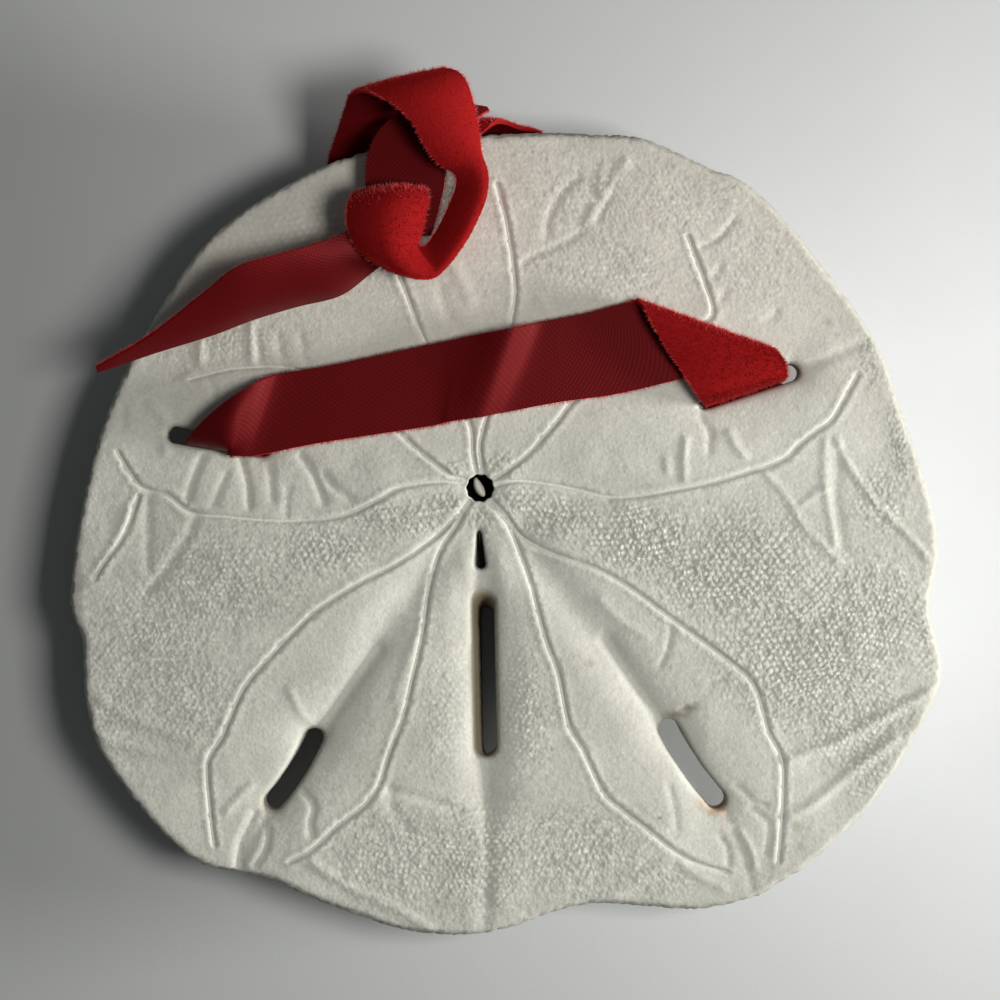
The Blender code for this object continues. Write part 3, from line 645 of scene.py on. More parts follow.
# The shell's edge in the scene, which stands a little further out than the solid's
OUTLINE_LOOP = smooth_path(plan(OUTLINE), PATH_STEP, closed=True)[::-1]
OUTLINE_LOOP *= 1 + RIM_REACH / np.hypot(OUTLINE_LOOP[:, :1], OUTLINE_LOOP[:, 1:])


def outline_radius(points: np.ndarray) -> np.ndarray:
    """Give the shell's radius in the direction of each point.

    Args:
        points: plan points.

    Returns:
        One radius for each point.
    """
    angles = np.arctan2(OUTLINE_LOOP[:, 1], OUTLINE_LOOP[:, 0])
    order = np.argsort(angles)
    radii = mouth_distance(OUTLINE_LOOP)
    return np.interp(np.arctan2(points[:, 1], points[:, 0]), angles[order], radii[order],
                     period=2 * math.pi)


def dome_height(points: np.ndarray) -> np.ndarray:
    """Give the height of the far side, without its petals.

    Args:
        points: plan points.

    Returns:
        One height for each point.
    """
    reach = (mouth_distance(points) - REST_RADIUS) / (outline_radius(points) - REST_RADIUS)
    return MARGIN_LIFT * np.clip(reach, 0.0, 1.0) ** DOME_POWER


# Materials

class Bench:
    """A material's nodes while they are laid out."""

    def __init__(self, name: str) -> None:
        """Start a new material with its shader.

        Args:
            name: the material's name.
        """
        self.material = bpy.data.materials.new(name)
        self.material.use_nodes = True
        self.tree = self.material.node_tree
        self.shader = self.tree.nodes["Principled BSDF"]
        self.shader.inputs["Metallic"].default_value = 0.0

    def add(self, kind: str, **values: object) -> bpy.types.Node:
        """Add a node.

        Args:
            kind: the node's type.
            values: its inputs by name, with spaces written as underscores. An input
                takes a plain value or another node's output.

        Returns:
            The new node.
        """
        node = self.tree.nodes.new(kind)
        for key, value in values.items():
            self.feed(node.inputs[key.replace("_", " ")], value)
        return node

    def feed(self, socket: bpy.types.NodeSocket, value: object) -> None:
        """Set an input to a plain value, or join it to an output.

        Args:
            socket: the input.
            value: a plain value or another node's output.
        """
        if isinstance(value, bpy.types.NodeSocket):
            self.tree.links.new(value, socket)
        elif isinstance(value, tuple) and len(value) == 3 and socket.type == "RGBA":
            socket.default_value = (*value, 1.0)
        else:
            socket.default_value = value

    def blend(self, factor: object, first: object, second: object) -> bpy.types.NodeSocket:
        """Mix two colours.

        Args:
            factor: how much of the second, a number or an output.
            first: a colour or an output.
            second: a colour or an output.

        Returns:
            The mixed colour's output.
        """
        node = self.tree.nodes.new("ShaderNodeMix")
        node.data_type = "RGBA"
        for number, value in ((0, factor), (6, first), (7, second)):
            self.feed(node.inputs[number], value)
        return node.outputs[2]

    def curve(self, value: bpy.types.NodeSocket, low: float, high: float,
              start: float = 0.0, end: float = 1.0) -> bpy.types.NodeSocket:
        """Turn the range low to high into the range start to end.

        Args:
            value: the output to change.
            low: the value that gives start.
            high: the value that gives end.
            start: the lowest result.
            end: the highest result.

        Returns:
            The changed value's output.
        """
        node = self.add("ShaderNodeMapRange", Value=value, From_Min=low, From_Max=high,
                        To_Min=start, To_Max=end)
        return node.outputs["Result"]

    def noise(self, where: bpy.types.NodeSocket, size: float,
              detail: float = 3.0) -> bpy.types.NodeSocket:
        """Add noise with features of about this size in metres."""
        node = self.add("ShaderNodeTexNoise", Vector=where, Scale=1.0 / size, Detail=detail)
        return node.outputs["Fac"]

    def ribs(self, where: bpy.types.NodeSocket, pitch: float,
             direction: str) -> bpy.types.NodeSocket:
        """Add even ribs.

        Args:
            where: the place that they are laid out by.
            pitch: how far apart they are, in metres.
            direction: the axis that they follow each other along, X or Y.

        Returns:
            The ribs' output, from 0 to 1.
        """
        node = self.add("ShaderNodeTexWave", Vector=where, Scale=math.pi / 10 / pitch,
                        Distortion=0.4, Detail=1.0)
        node.bands_direction = direction
        return node.outputs["Fac"]

    def value(self, name: str) -> bpy.types.NodeSocket:
        """Read a value that the mesh keeps at its points.

        Args:
            name: the value's name.

        Returns:
            The value's output.
        """
        node = self.tree.nodes.new("ShaderNodeAttribute")
        node.attribute_name = name
        return node.outputs["Fac"]

    def bump(self, height: bpy.types.NodeSocket, distance: float, strength: object,
             before: object = None) -> bpy.types.NodeSocket:
        """Add a bump.

        Args:
            height: the bump's height, from 0 to 1.
            distance: the rise in metres that 1 stands for.
            strength: how much of it is used.
            before: another bump that this one adds to.

        Returns:
            The normal's output.
        """
        node = self.add("ShaderNodeBump", Height=height, Distance=distance,
                        Strength=strength)
        if before is not None:
            self.tree.links.new(before, node.inputs["Normal"])
        return node.outputs["Normal"]

    def where(self) -> bpy.types.NodeSocket:
        """Give the place on the object, in metres."""
        return self.tree.nodes.new("ShaderNodeTexCoord").outputs["Object"]

    def unrolled(self) -> bpy.types.NodeSocket:
        """Give the place along and across the ribbon, in metres."""
        return self.tree.nodes.new("ShaderNodeTexCoord").outputs["UV"]

    def sheen(self, weight: float, specular: float) -> None:
        """Give the shader the red sheen of velvet.

        Args:
            weight: how strong the sheen is.
            specular: how strong the plain shine is.
        """
        inputs = self.shader.inputs
        inputs["Sheen Weight"].default_value = weight
        inputs["Sheen Roughness"].default_value = 0.4
        inputs["Sheen Tint"].default_value = (1.0, 0.035, 0.03, 1.0)
        inputs["Specular IOR Level"].default_value = specular

    def finish(self, colour: object, roughness: object,
               normal: object = None) -> bpy.types.Material:
        """Join the results to the shader.

        Args:
            colour: a colour or an output.
            roughness: a number or an output.
            normal: a bump's output.

        Returns:
            The finished material.
        """
        self.feed(self.shader.inputs["Base Color"], colour)
        self.feed(self.shader.inputs["Roughness"], roughness)
        if normal is not None:
            self.feed(self.shader.inputs["Normal"], normal)
        return self.material


@dataclass(frozen=True)
class ShellFinish:
    """Dry chalky shell with fine grains, with painted shade and painted highlights in its colour.
    """

    pale: Colour = (0.64, 0.645, 0.575)
    grey: Colour = (0.54, 0.545, 0.48)
    warm: Colour = (0.65, 0.60, 0.53)
    # Painted shade in grooves, beside slots, in sunken places and at the rim; specks too
    shade_and_speck: Colour = (0.20, 0.185, 0.15)
    # Painted shade between the grains, also for random dark spots and the darker rim
    gap: Colour = (0.35, 0.35, 0.30)
    # Painted highlight on each grain and along the grooves
    top: Colour = (0.80, 0.805, 0.73)
    # Painted shade deep in the mouth and the vent
    deep: Colour = (0.012, 0.009, 0.007)
    # Brown of real stains, and of the slot below the mouth, partly painted shade there
    brown: Colour = (0.24, 0.18, 0.105)
    orange: Colour = (0.46, 0.28, 0.16)
    cloud_size: float = 9.0 * MM
    speck_size: float = 0.42 * MM
    grain_size: float = 0.55 * MM
    grain_bump: float = 0.14 * MM
    dust_size: float = 0.35 * MM
    dust_bump: float = 0.10 * MM
    roughness: float = 0.86

    def make(self) -> bpy.types.Material:
        """Make the material.

        Returns:
            The shell's material.
        """
        bench = Bench("chalky_shell")
        where = bench.where()
        cloud = bench.curve(bench.noise(where, self.cloud_size), *CLOUD_RANGE)
        speck = bench.curve(bench.noise(where, self.speck_size, 4.0), 0.30, 0.72)
        colour = bench.blend(cloud, self.grey, self.pale)
        colour = bench.blend(bench.value("warm"), colour, self.warm)
        # Random dark specks of the grain's own tone, in the painted shade's colour
        darker = bench.curve(speck, 0.0, 1.0, 0.22, 0.0)
        colour = bench.blend(darker, colour, self.shade_and_speck)
        # Painted shade, painted highlights, and the brown and orange stains kept at the points
        tints = {"shade_and_speck": self.shade_and_speck, "brown": self.brown, "orange": self.orange,
                 "deep": self.deep, "gap": self.gap, "top": self.top}
        for name, tint in tints.items():
            colour = bench.blend(bench.value(name), colour, tint)
        grains = bench.add("ShaderNodeTexVoronoi", Vector=where, Scale=1.0 / self.grain_size)
        rise = bench.curve(grains.outputs["Distance"], 0.0, 0.75, 1.0, 0.0)
        strength = bench.curve(bench.value("coarse"), 0.0, 1.0, 0.10, 0.6)
        normal = bench.bump(rise, self.grain_bump, strength)
        dust = bench.noise(where, self.dust_size, 4.0)
        normal = bench.bump(dust, self.dust_bump, 0.36, normal)
        return bench.finish(colour, self.roughness, normal)


@dataclass(frozen=True)
class SatinFinish:
    """Deep red satin with a woven face and a soft broad shine."""

    thread: Colour = (0.071, 0.0022, 0.0032)
    bright: Colour = (0.096, 0.0033, 0.0048)
    shine: float = 0.45
    shine_tint: Colour = (1.0, 0.14, 0.14)
    roughness: float = 0.46
    weave_turn: float = 38.0
    row_pitch: float = 0.40 * MM
    column_pitch: float = 0.46 * MM
    weave_bump: float = 0.035 * MM
    cloud_size: float = 5.0 * MM

    def make(self) -> bpy.types.Material:
        """Make the material.

        Returns:
            The satin's material.
        """
        bench = Bench("red_satin")
        flat = bench.unrolled()
        turned = bench.add("ShaderNodeMapping", Vector=flat,
                           Rotation=(0.0, 0.0, math.radians(self.weave_turn)))
        rows = bench.ribs(turned.outputs["Vector"], self.row_pitch, "X")
        columns = bench.ribs(turned.outputs["Vector"], self.column_pitch, "Y")
        dots = bench.add("ShaderNodeMath", Value=rows)
        dots.operation = "MULTIPLY"
        bench.feed(dots.inputs[1], columns)
        raised = dots.outputs[0]
        cloud = bench.noise(flat, self.cloud_size)
        colour = bench.blend(bench.curve(raised, 0.15, 0.75, 0.0, 0.65), self.thread,
                             self.bright)
        colour = bench.blend(bench.curve(cloud, 0.35, 0.75, 0.0, 0.35), colour, self.thread)
        normal = bench.bump(raised, self.weave_bump, 0.4)
        bench.shader.inputs["Specular IOR Level"].default_value = self.shine
        bench.shader.inputs["Specular Tint"].default_value = (*self.shine_tint, 1.0)
        return bench.finish(colour, self.roughness, normal)


@dataclass(frozen=True)
class PileFinish:
    """Cut velvet pile, red at its roots, with painted sheen paling its fibres towards their ends.
    """

    name: str = "velvet_pile"
    root: Colour = (0.205, 0.0046, 0.0050)
    body: Colour = (0.225, 0.0052, 0.0057)
    # Painted sheen that pales a fibre towards its end
    painted_sheen_tip: Colour = (0.28, 0.0075, 0.0080)
    sheen: float = 0.80
    shine: float = 0.06
    roughness: float = 0.85
    cloud_size: float = 1.6 * MM

    def make(self) -> bpy.types.Material:
        """Make the material.

        Returns:
            The pile's material.
        """
        bench = Bench(self.name)
        cloud = bench.curve(bench.noise(bench.where(), self.cloud_size), *CLOUD_RANGE)
        colour = bench.blend(cloud, self.root, self.body)
        # Painted sheen: each fibre paler towards its end
        colour = bench.blend(bench.value("height"), colour, self.painted_sheen_tip)
        bench.sheen(self.sheen, self.shine)
        return bench.finish(colour, self.roughness)


@dataclass(frozen=True)
class BackingFinish:
    """The ground cloth that the pile stands on."""

    thread: Colour = (0.20, 0.0048, 0.0053)
    bright: Colour = (0.225, 0.0054, 0.0059)
    sheen: float = 0.80
    shine: float = 0.05
    roughness: float = 0.9
    tuft_size: float = 0.5 * MM

    def make(self) -> bpy.types.Material:
        """Make the material.

        Returns:
            The ground cloth's material.
        """
        bench = Bench("velvet_ground")
        tufts = bench.curve(bench.noise(bench.where(), self.tuft_size), *CLOUD_RANGE)
        colour = bench.blend(tufts, self.thread, self.bright)
        bench.sheen(self.sheen, self.shine)
        return bench.finish(colour, self.roughness)


@dataclass(frozen=True)
class ToothFinish:
    """Smooth pale calcite, with painted shade that darkens it towards its root."""

    pale: Colour = (0.66, 0.63, 0.55)
    shade: Colour = (0.36, 0.32, 0.26)
    dark_height: float = 7.0 * MM
    pale_height: float = 9.5 * MM
    cloud_size: float = 0.5 * MM
    grain_size: float = 0.3 * MM
    grain_bump: float = 0.04 * MM
    roughness: float = 0.5

    def make(self) -> bpy.types.Material:
        """Make the material.

        Returns:
            The jaw piece's material.
        """
        bench = Bench("pale_calcite")
        where = bench.where()
        height = bench.add("ShaderNodeSeparateXYZ", Vector=where).outputs["Z"]
        # Painted shade, darker the lower the point lies in the mouth
        sunk = bench.curve(height, self.dark_height, self.pale_height, 1.0, 0.0)
        cloud = bench.curve(bench.noise(where, self.cloud_size), 0.3, 0.7, 0.0, 0.35)
        colour = bench.blend(cloud, self.pale, self.shade)
        colour = bench.blend(sunk, colour, self.shade)
        normal = bench.bump(bench.noise(where, self.grain_size), self.grain_bump, 0.4)
        return bench.finish(colour, self.roughness, normal)


@dataclass(frozen=True)
class PaperFinish:
    """Plain matt paper, with painted shade darker to the left and towards the top and bottom."""

    white: Colour = (0.74, 0.757, 0.765)
    shade: Colour = (0.40, 0.412, 0.405)
    fall_reach: float = 60.0 * MM
    margin_start: float = 20.0 * MM
    margin_end: float = 75.0 * MM
    margin_share: float = 0.55
    cloud_size: float = 14.0 * MM
    grain_size: float = 0.4 * MM
    grain_bump: float = 0.03 * MM
    roughness: float = 0.9

    def make(self) -> bpy.types.Material:
        """Make the material.

        Returns:
            The paper's material.
        """
        bench = Bench("plain_paper")
        where = bench.where()
        parts = bench.add("ShaderNodeSeparateXYZ", Vector=where).outputs
        # Painted shade: the paper darkens to the left, and towards the top and bottom
        fall = bench.curve(parts["X"], -self.fall_reach, self.fall_reach, 1.0, 0.0)
        off_middle = bench.add("ShaderNodeMath", Value=parts["Y"])
        off_middle.operation = "ABSOLUTE"
        margin = bench.curve(off_middle.outputs[0], self.margin_start, self.margin_end, 0.0,
                             self.margin_share)
        cloud = bench.curve(bench.noise(where, self.cloud_size), 0.3, 0.7, 0.0, 0.05)
        colour = bench.blend(fall, self.white, self.shade)
        colour = bench.blend(margin, colour, self.shade)
        colour = bench.blend(cloud, colour, self.shade)
        normal = bench.bump(bench.noise(where, self.grain_size), self.grain_bump, 0.3)
        return bench.finish(colour, self.roughness, normal)


def make_piece(name: str, points: np.ndarray, faces: list,
               materials: list[bpy.types.Material]) -> bpy.types.Object:
    """Make a mesh piece in the scene.

    Args:
        name: the piece's name.
        points: its points in metres.
        faces: its faces as tuples of point numbers.
        materials: its materials in slot order.

    Returns:
        The new object.
    """
    mesh = bpy.data.meshes.new(name)
    mesh.from_pydata(np.asarray(points).tolist(), [], faces)
    mesh.shade_smooth()
    for material in materials:
        mesh.materials.append(material)
    piece = bpy.data.objects.new(name, mesh)
    bpy.context.scene.collection.objects.link(piece)
    return piece


def keep_values(piece: bpy.types.Object, name: str, values: np.ndarray) -> None:
    """Keep one value at each point of a piece for its material.

    Args:
        piece: the mesh piece.
        name: the value's name.
        values: one number for each point.
    """
    layer = piece.data.attributes.new(name, "FLOAT", "POINT")
    layer.data.foreach_set("value", np.asarray(values, dtype=np.float32))


# The shell

@dataclass
class Slot:
    """A long opening in the shell: one of its five slots, or the vent."""

    first: tuple
    last: tuple
    width: float
    bend: float = 0.0
    ledge: float = 0.0
    narrow: tuple = (0.0, 0.0)
    lean: float = 0.0

    def __post_init__(self) -> None:
        """Work out the middle line in metres."""
        ends = plan([self.first, self.last])
        self.half = self.width * PIXEL / 2
        self.forward = (ends[1] - ends[0]) / np.linalg.norm(ends[1] - ends[0])
        self.side = np.array((-self.forward[1], self.forward[0]))
        self.start = ends[0] + self.forward * self.half
        self.length = float(np.dot(ends[1] - ends[0], self.forward)) - 2 * self.half

    def offset(self, along: np.ndarray) -> np.ndarray:
        """Give how far the middle line swings sideways along its length."""
        share = np.clip(along / self.length, 0.0, 1.0)
        return 4 * share * (1 - share) * self.bend

    def width_share(self, along: np.ndarray) -> np.ndarray:
        """Give how wide the opening is along its length, 1 for its full width."""
        share = np.clip(along / self.length, 0.0, 1.0)
        return 1 - self.narrow[0] * (1 - share) - self.narrow[1] * share

    def loop(self, flare: float, step: float, depth: float = 0.0) -> np.ndarray:
        """Trace the edge of the opening.

        Args:
            flare: how much wider than the opening the loop is.
            step: about how far apart its points are.
            depth: how far down the wall it is, from 0 to 1.

        Returns:
            The loop's points.
        """
        radius = self.half + flare
        arc = max(6, round(math.pi * self.half / step))
        sides = max(4, round(self.length / step))
        rows = []
        for angle in np.linspace(-math.pi / 2, math.pi / 2, arc, endpoint=False):
            rows.append((self.length + radius * math.cos(angle), radius * math.sin(angle)))
        for share in np.arange(sides) / sides:
            rows.append((self.length * (1 - share), radius))
        for angle in np.linspace(math.pi / 2, 3 * math.pi / 2, arc, endpoint=False):
            rows.append((radius * math.cos(angle), radius * math.sin(angle)))
        for share in np.arange(sides) / sides:
            rows.append((self.length * share, -radius))
        local = np.array(rows)
        local[:, 1] *= self.width_share(local[:, 0])
        local[:, 1] = np.where(local[:, 1] < 0, 1 - self.lean * depth, 1.0) * local[:, 1]
        near_start = np.clip(1 - local[:, 0] / (LEDGE_SHARE * self.length), 0.0, 1.0)
        local[:, 0] += self.ledge * depth * near_start
        across = local[:, 1] + self.offset(local[:, 0])
        return self.start + local[:, :1] * self.forward + across[:, None] * self.side

    def distance(self, points: np.ndarray) -> np.ndarray:
        """Measure how far points are from the opening's edge.

        Args:
            points: plan points.

        Returns:
            One distance for each point, 0 inside the opening.
        """
        local = points - self.start
        along = local @ self.forward
        across = local @ self.side - self.offset(along)
        beyond = along - np.clip(along, 0.0, self.length)
        half = self.half * self.width_share(along)
        return np.maximum(np.hypot(beyond, across) - half, 0.0)


@dataclass
class Relief:
    """The heights and the tints of the shell's two faces."""

    slots: list[Slot]
    cloud: Grain = Grain(11.0 * MM, 3)
    cloud_rise: float = 0.16 * MM
    lump: Grain = Grain(3.2 * MM, 5)
    lump_rise: float = 0.045 * MM
    calm_radius: float = 6.0 * MM
    grooves: list[np.ndarray] = field(default_factory=list)
    valleys: list[np.ndarray] = field(default_factory=list)
    petals: list[np.ndarray] = field(default_factory=list)

    def __post_init__(self) -> None:
        """Lay out the grooves, the valleys and the petals."""
        self.grooves = [smooth_path(plan(row), PATH_STEP) for row in GROOVES]
        self.valleys = [plan(row) for row in VALLEYS]
        share = np.linspace(0.0, 1.0, PETAL_POINTS)
        along = PETAL_START + (PETAL_END - PETAL_START) * share
        swell = PETAL_SWELL[0] + PETAL_SWELL[1] * share
        half = PETAL_HALF_WIDTH * np.sin(math.pi * swell)
        for degrees in PETAL_DIRECTIONS:
            angle = math.radians(degrees)
            forward = np.array((math.cos(angle), math.sin(angle)))
            side = np.array((-forward[1], forward[0]))
            for sign in (-1, 1):
                row = along[:, None] * forward + sign * half[:, None] * side
                self.petals.append(row)

    def groove_share(self, points: np.ndarray) -> np.ndarray:
        """Say how deep in a food groove each point is.

        Args:
            points: plan points.

        Returns:
            1 at the bottom of a groove and 0 outside one.
        """
        out = self.groove_gap(points) / (GROOVE_WIDTH / 2)
        return ease(np.clip(GROOVE_SHOULDER - out, 0.0, 1.0))

    def groove_gap(self, points: np.ndarray) -> np.ndarray:
        """Measure how far each point is from the nearest food groove.

        Args:
            points: plan points.

        Returns:
            One distance for each point, no more than the reach of a groove.
        """
        result = np.full(len(points), GROOVE_REACH)
        for path in self.grooves:
            result = np.minimum(result, path_distance(points, path, GROOVE_REACH))
        return result

    def coarse(self, points: np.ndarray) -> np.ndarray:
        """Say how coarse the grain is at each point.

        Args:
            points: plan points.

        Returns:
            From 0, fine, to 1, coarse.
        """
        result = strongest(points, COARSE_FIELDS)
        for path, width in SMOOTH_BANDS:
            gap = path_distance(points, plan(path), 2 * width * PIXEL)
            result *= np.clip(gap / (width * PIXEL) - BAND_CORE, 0.0, 1.0)
        return np.clip(COARSE_GAIN * result, 0.0, 1.0)

    def mouth_side(self, points: np.ndarray) -> np.ndarray:
        """Give the height of the mouth side, without its grains.

        Args:
            points: plan points.

        Returns:
            One height for each point.
        """
        radius = mouth_distance(points)
        share = radius / outline_radius(points)
        height = FACE_HEIGHT - FACE_FALL * share ** 2
        for path in self.valleys:
            gap = path_distance(points, path, 4 * VALLEY_WIDTH)
            height -= VALLEY_DEPTH * np.exp(-(gap / VALLEY_WIDTH) ** 2)
        for slot in self.slots:
            height -= FUNNEL_DEPTH * np.exp(-slot.distance(points) / FUNNEL_REACH)
        for path, width, rise in WRINKLES:
            gap = path_distance(points, smooth_path(plan(path), MM), 4 * width * MM)
            height += rise * MM * np.exp(-(gap / (width * MM)) ** 2)
        gap = self.groove_gap(points)
        height += BANK_RISE * np.exp(-((gap - BANK_PLACE) / BANK_WIDTH) ** 2)
        height -= GROOVE_DEPTH * self.groove_share(points)
        height -= MOUTH_DISH * np.exp(-((radius - MOUTH_RADIUS) / MOUTH_DISH_WIDTH) ** 2)
        rough = np.clip(radius / self.calm_radius, 0.0, 1.0)
        height += rough * (self.cloud_rise * self.cloud.at(points)
                           + self.lump_rise * self.lump.at(points))
        return height

    def far_side(self, points: np.ndarray) -> np.ndarray:
        """Give the height of the far side, without its grains.

        Args:
            points: plan points.

        Returns:
            One height for each point.
        """
        height = dome_height(points)
        radius = mouth_distance(points)
        bars = PETAL_BARS[0] + PETAL_BARS[1] * np.sin(radius * 2 * math.pi / PETAL_BAR_PITCH)
        for path in self.petals:
            gap = path_distance(points, path, GROOVE_WIDTH) / (GROOVE_WIDTH / 2)
            height += PETAL_RISE * np.clip(1.0 - gap, 0.0, 1.0) * bars
        return height


@dataclass(frozen=True)
class ShadeAndTint:
    """Where the shell gets painted shade, a warmer tone or stains. A share says how strongly it
    shows.
    """

    # Painted shade in sunken places, grooves, beside slots and at the rim; a darker right margin
    sunk_depth: float = 1.0 * MM
    sunk_share: float = 0.35
    groove_share: float = 0.05
    slot_reach: float = 1.2 * MM
    slot_share: float = 0.10
    edge_start: float = 0.975
    edge_run: float = 0.02
    edge_share: float = 0.20
    dark_margin_start: float = 0.90
    dark_margin_run: float = 0.06
    dark_margin_across: float = 25.0 * MM
    dark_margin_share: float = 0.10
    darkest: float = 0.9
    # Above this height over the far side, the mouth side's tints show
    upper_start: float = 0.6 * MM
    upper_run: float = 1.0 * MM
    # The warm tint towards the top edge
    warm_start: float = 4.0 * MM
    warm_run: float = 30.0 * MM
    warm_share: float = 0.55
    warm_cloud: Grain = Grain(7.0 * MM, 31)
    warm_cloud_share: float = 0.15
    warm_cloud_lift: float = 0.3
    # The brown of the slot below the mouth: its left wall's tan, painted shade at its upper end
    brown_across: float = 1.6 * MM
    brown_along: float = 4.0 * MM
    brown_reach: float = 0.5 * MM
    brown_gain: float = 1.4
    brown_left_share: float = 0.75
    brown_end_share: float = 0.6
    brown_least: float = 0.1
    # The painted shade deep in the two pits
    pit_floor: float = 4.0 * MM
    pit_run: float = 1.0 * MM
    mouth_dark: float = 0.6 * MM
    mouth_reach: float = 1.15
    vent_dark: float = 1.6 * MM
    vent_reach: float = 0.02 * MM


@dataclass
class Shell:
    """The sand dollar's own skeleton, one closed piece."""

    # The mesh: the distances between its points, how far they are warped and moved, how many
    # grains are missing, and how far its points keep from an edge and from each other. A warp
    # gives its size in millimetres, its reach in pitches and its seed.
    pitch: float = 0.41 * MM
    far_pitch: float = 0.85 * MM
    edge_step: float = 0.42 * MM
    warps: tuple = ((15.0, 5.0, 23), (3.6, 1.1, 21))
    jitter: float = 0.24
    missing: float = 0.08
    edge_clearance: float = 0.6
    line_clearance: float = 0.55
    row_clearance: float = 0.5
    merge_size: float = 0.17 * MM
    join_gap: float = 1e-5
    # The grains: their rise, the fine roughness, and how both follow the coarseness
    grain_rise: float = 0.27 * MM
    fine_rise: float = 0.05 * MM
    uneven: tuple = (0.45, 1.2)
    spots: float = 0.30
    lift_shares: tuple = (0.12, 0.88)
    # Painted shade between the grains, and random dark spots
    gap_shade_and_spot_shares: tuple = (0.80, 0.45)
    # Painted highlight on each grain and along the grooves
    highlight_shares: tuple = (0.65, 0.38)
    fine_shares: tuple = (0.16, 0.18, 0.38)
    far_lift: float = 0.6
    # Painted shade between the grains of the far side
    far_gap_shade: float = 0.35
    # The rim: its rings, how its crumbling edge stands in and out, and how dark it gets
    rim_steps: int = 9
    rim_sample: float = 0.999
    rim_rough: tuple = (-0.08 * MM, 0.24 * MM)
    # The rim's random darkening is partly painted shade that dims the lit rim
    rim_crumb_shade: float = 0.75
    # The slots' walls: the rings of a lip, how deep they sit, and the wall's roughness in
    # millimetres
    lip_shares: tuple = (0.2, 0.5, 0.8, 1.0)
    lip_drop: float = 0.05 * MM
    lip_lean: float = 0.25
    middle_lean: float = 0.75
    lower_lean: float = 0.5
    narrow_flare: float = 0.1 * MM
    wall_rough: float = 0.07
    # The edges of the mouth and the vent
    mouth_points: int = 40
    mouth_bays: int = 10
    bay_depth: float = 0.045
    bay_turn: float = 0.6
    mouth_flare: float = 1.08
    vent_flare: float = 0.3 * MM
    shade_and_tint: ShadeAndTint = ShadeAndTint()
    finish: ShellFinish = ShellFinish()
    points: list = field(default_factory=list)
    faces: list = field(default_factory=list)
    gap_shade_and_spots: list = field(default_factory=list)
    painted_highlights: list = field(default_factory=list)

    def __post_init__(self) -> None:
        """Set out the openings and the relief."""
        rows = zip(SLOTS, SLOT_BENDS, SLOT_LEDGES, SLOT_ENDS, SLOT_LEANS)
        self.slots = [Slot(*row, bend=bend, ledge=ledge, narrow=ends, lean=lean)
                      for row, bend, ledge, ends, lean in rows]
        self.vent = Slot(*VENT, narrow=VENT_ENDS)
        self.relief = Relief(self.slots)
        self.random = np.random.default_rng(12)

    def add(self, plan_points: np.ndarray, heights: np.ndarray,
            gap_shade_and_spots: float | np.ndarray = 0.0, painted_highlights: float | np.ndarray = 0.0) -> np.ndarray:
        """Add points.

        Args:
            plan_points: their places.
            heights: their heights.
            gap_shade_and_spots: how much painted shade, random spots or the rim darken each.
            painted_highlights: how much painted highlight brightens each.

        Returns:
            Their numbers.
        """
        start = sum(len(rows) for rows in self.points)
        self.points.append(np.column_stack((plan_points, heights)))
        self.gap_shade_and_spots.append(np.zeros(len(plan_points)) + gap_shade_and_spots)
        self.painted_highlights.append(np.zeros(len(plan_points)) + painted_highlights)
        return np.arange(start, start + len(plan_points))

    def lattice(self, pitch: float, loops: list[np.ndarray],
                paths: list[np.ndarray]) -> tuple[np.ndarray, np.ndarray]:
        """Lay a slightly uneven grid of points over a face.

        Args:
            pitch: the distance between points.
            loops: the face's edge and the holes in it.
            paths: the lines that the grid keeps clear of.

        Returns:
            The points, and True where one is the middle of a grain.
        """
        low, high = loops[0].min(0), loops[0].max(0)
        row_step = pitch * math.sqrt(3) / 2
        rows, marks = [], []
        for j, y in enumerate(np.arange(low[1], high[1], row_step)):
            x = np.arange(low[0] + (j % 2) * pitch / 2, high[0], pitch)
            rows.append(np.column_stack((x, np.full(len(x), y))))
            shift = (j // 2) % 2
            marks.append((np.arange(len(x)) % 2 == shift) & (j % 2 == 0))
        grid, middle = np.vstack(rows), np.concatenate(marks)
        for size, share, seed in self.warps:
            warp = [Grain(size * MM, seed + 10 * k).at(grid) for k in (0, 1)]
            grid = grid + share * pitch * np.column_stack(warp)
        grid += self.random.uniform(-self.jitter, self.jitter, grid.shape) * pitch
        middle &= self.random.random(len(middle)) > self.missing
        keep = on_face(grid, loops)
        grid, middle = grid[keep], middle[keep]
        keep = np.ones(len(grid), dtype=bool)
        for loop in loops:
            keep &= loop_distance(grid, loop, pitch) > self.edge_clearance * pitch
        for path in paths:
            keep &= path_distance(grid, path, pitch) > self.line_clearance * pitch
        return grid[keep], middle[keep]

    def groove_rows(self) -> list[np.ndarray]:
        """Lay lines of points along every food groove.

        Returns:
            The points of each line.
        """
        rows = []
        for path in self.relief.grooves:
            runs = np.gradient(path, axis=0)
            runs /= np.linalg.norm(runs, axis=1)[:, None]
            sides = np.column_stack((-runs[:, 1], runs[:, 0]))
            for out in GROOVE_LINES:
                rows.append(path + sides * out * GROOVE_WIDTH)
        return rows

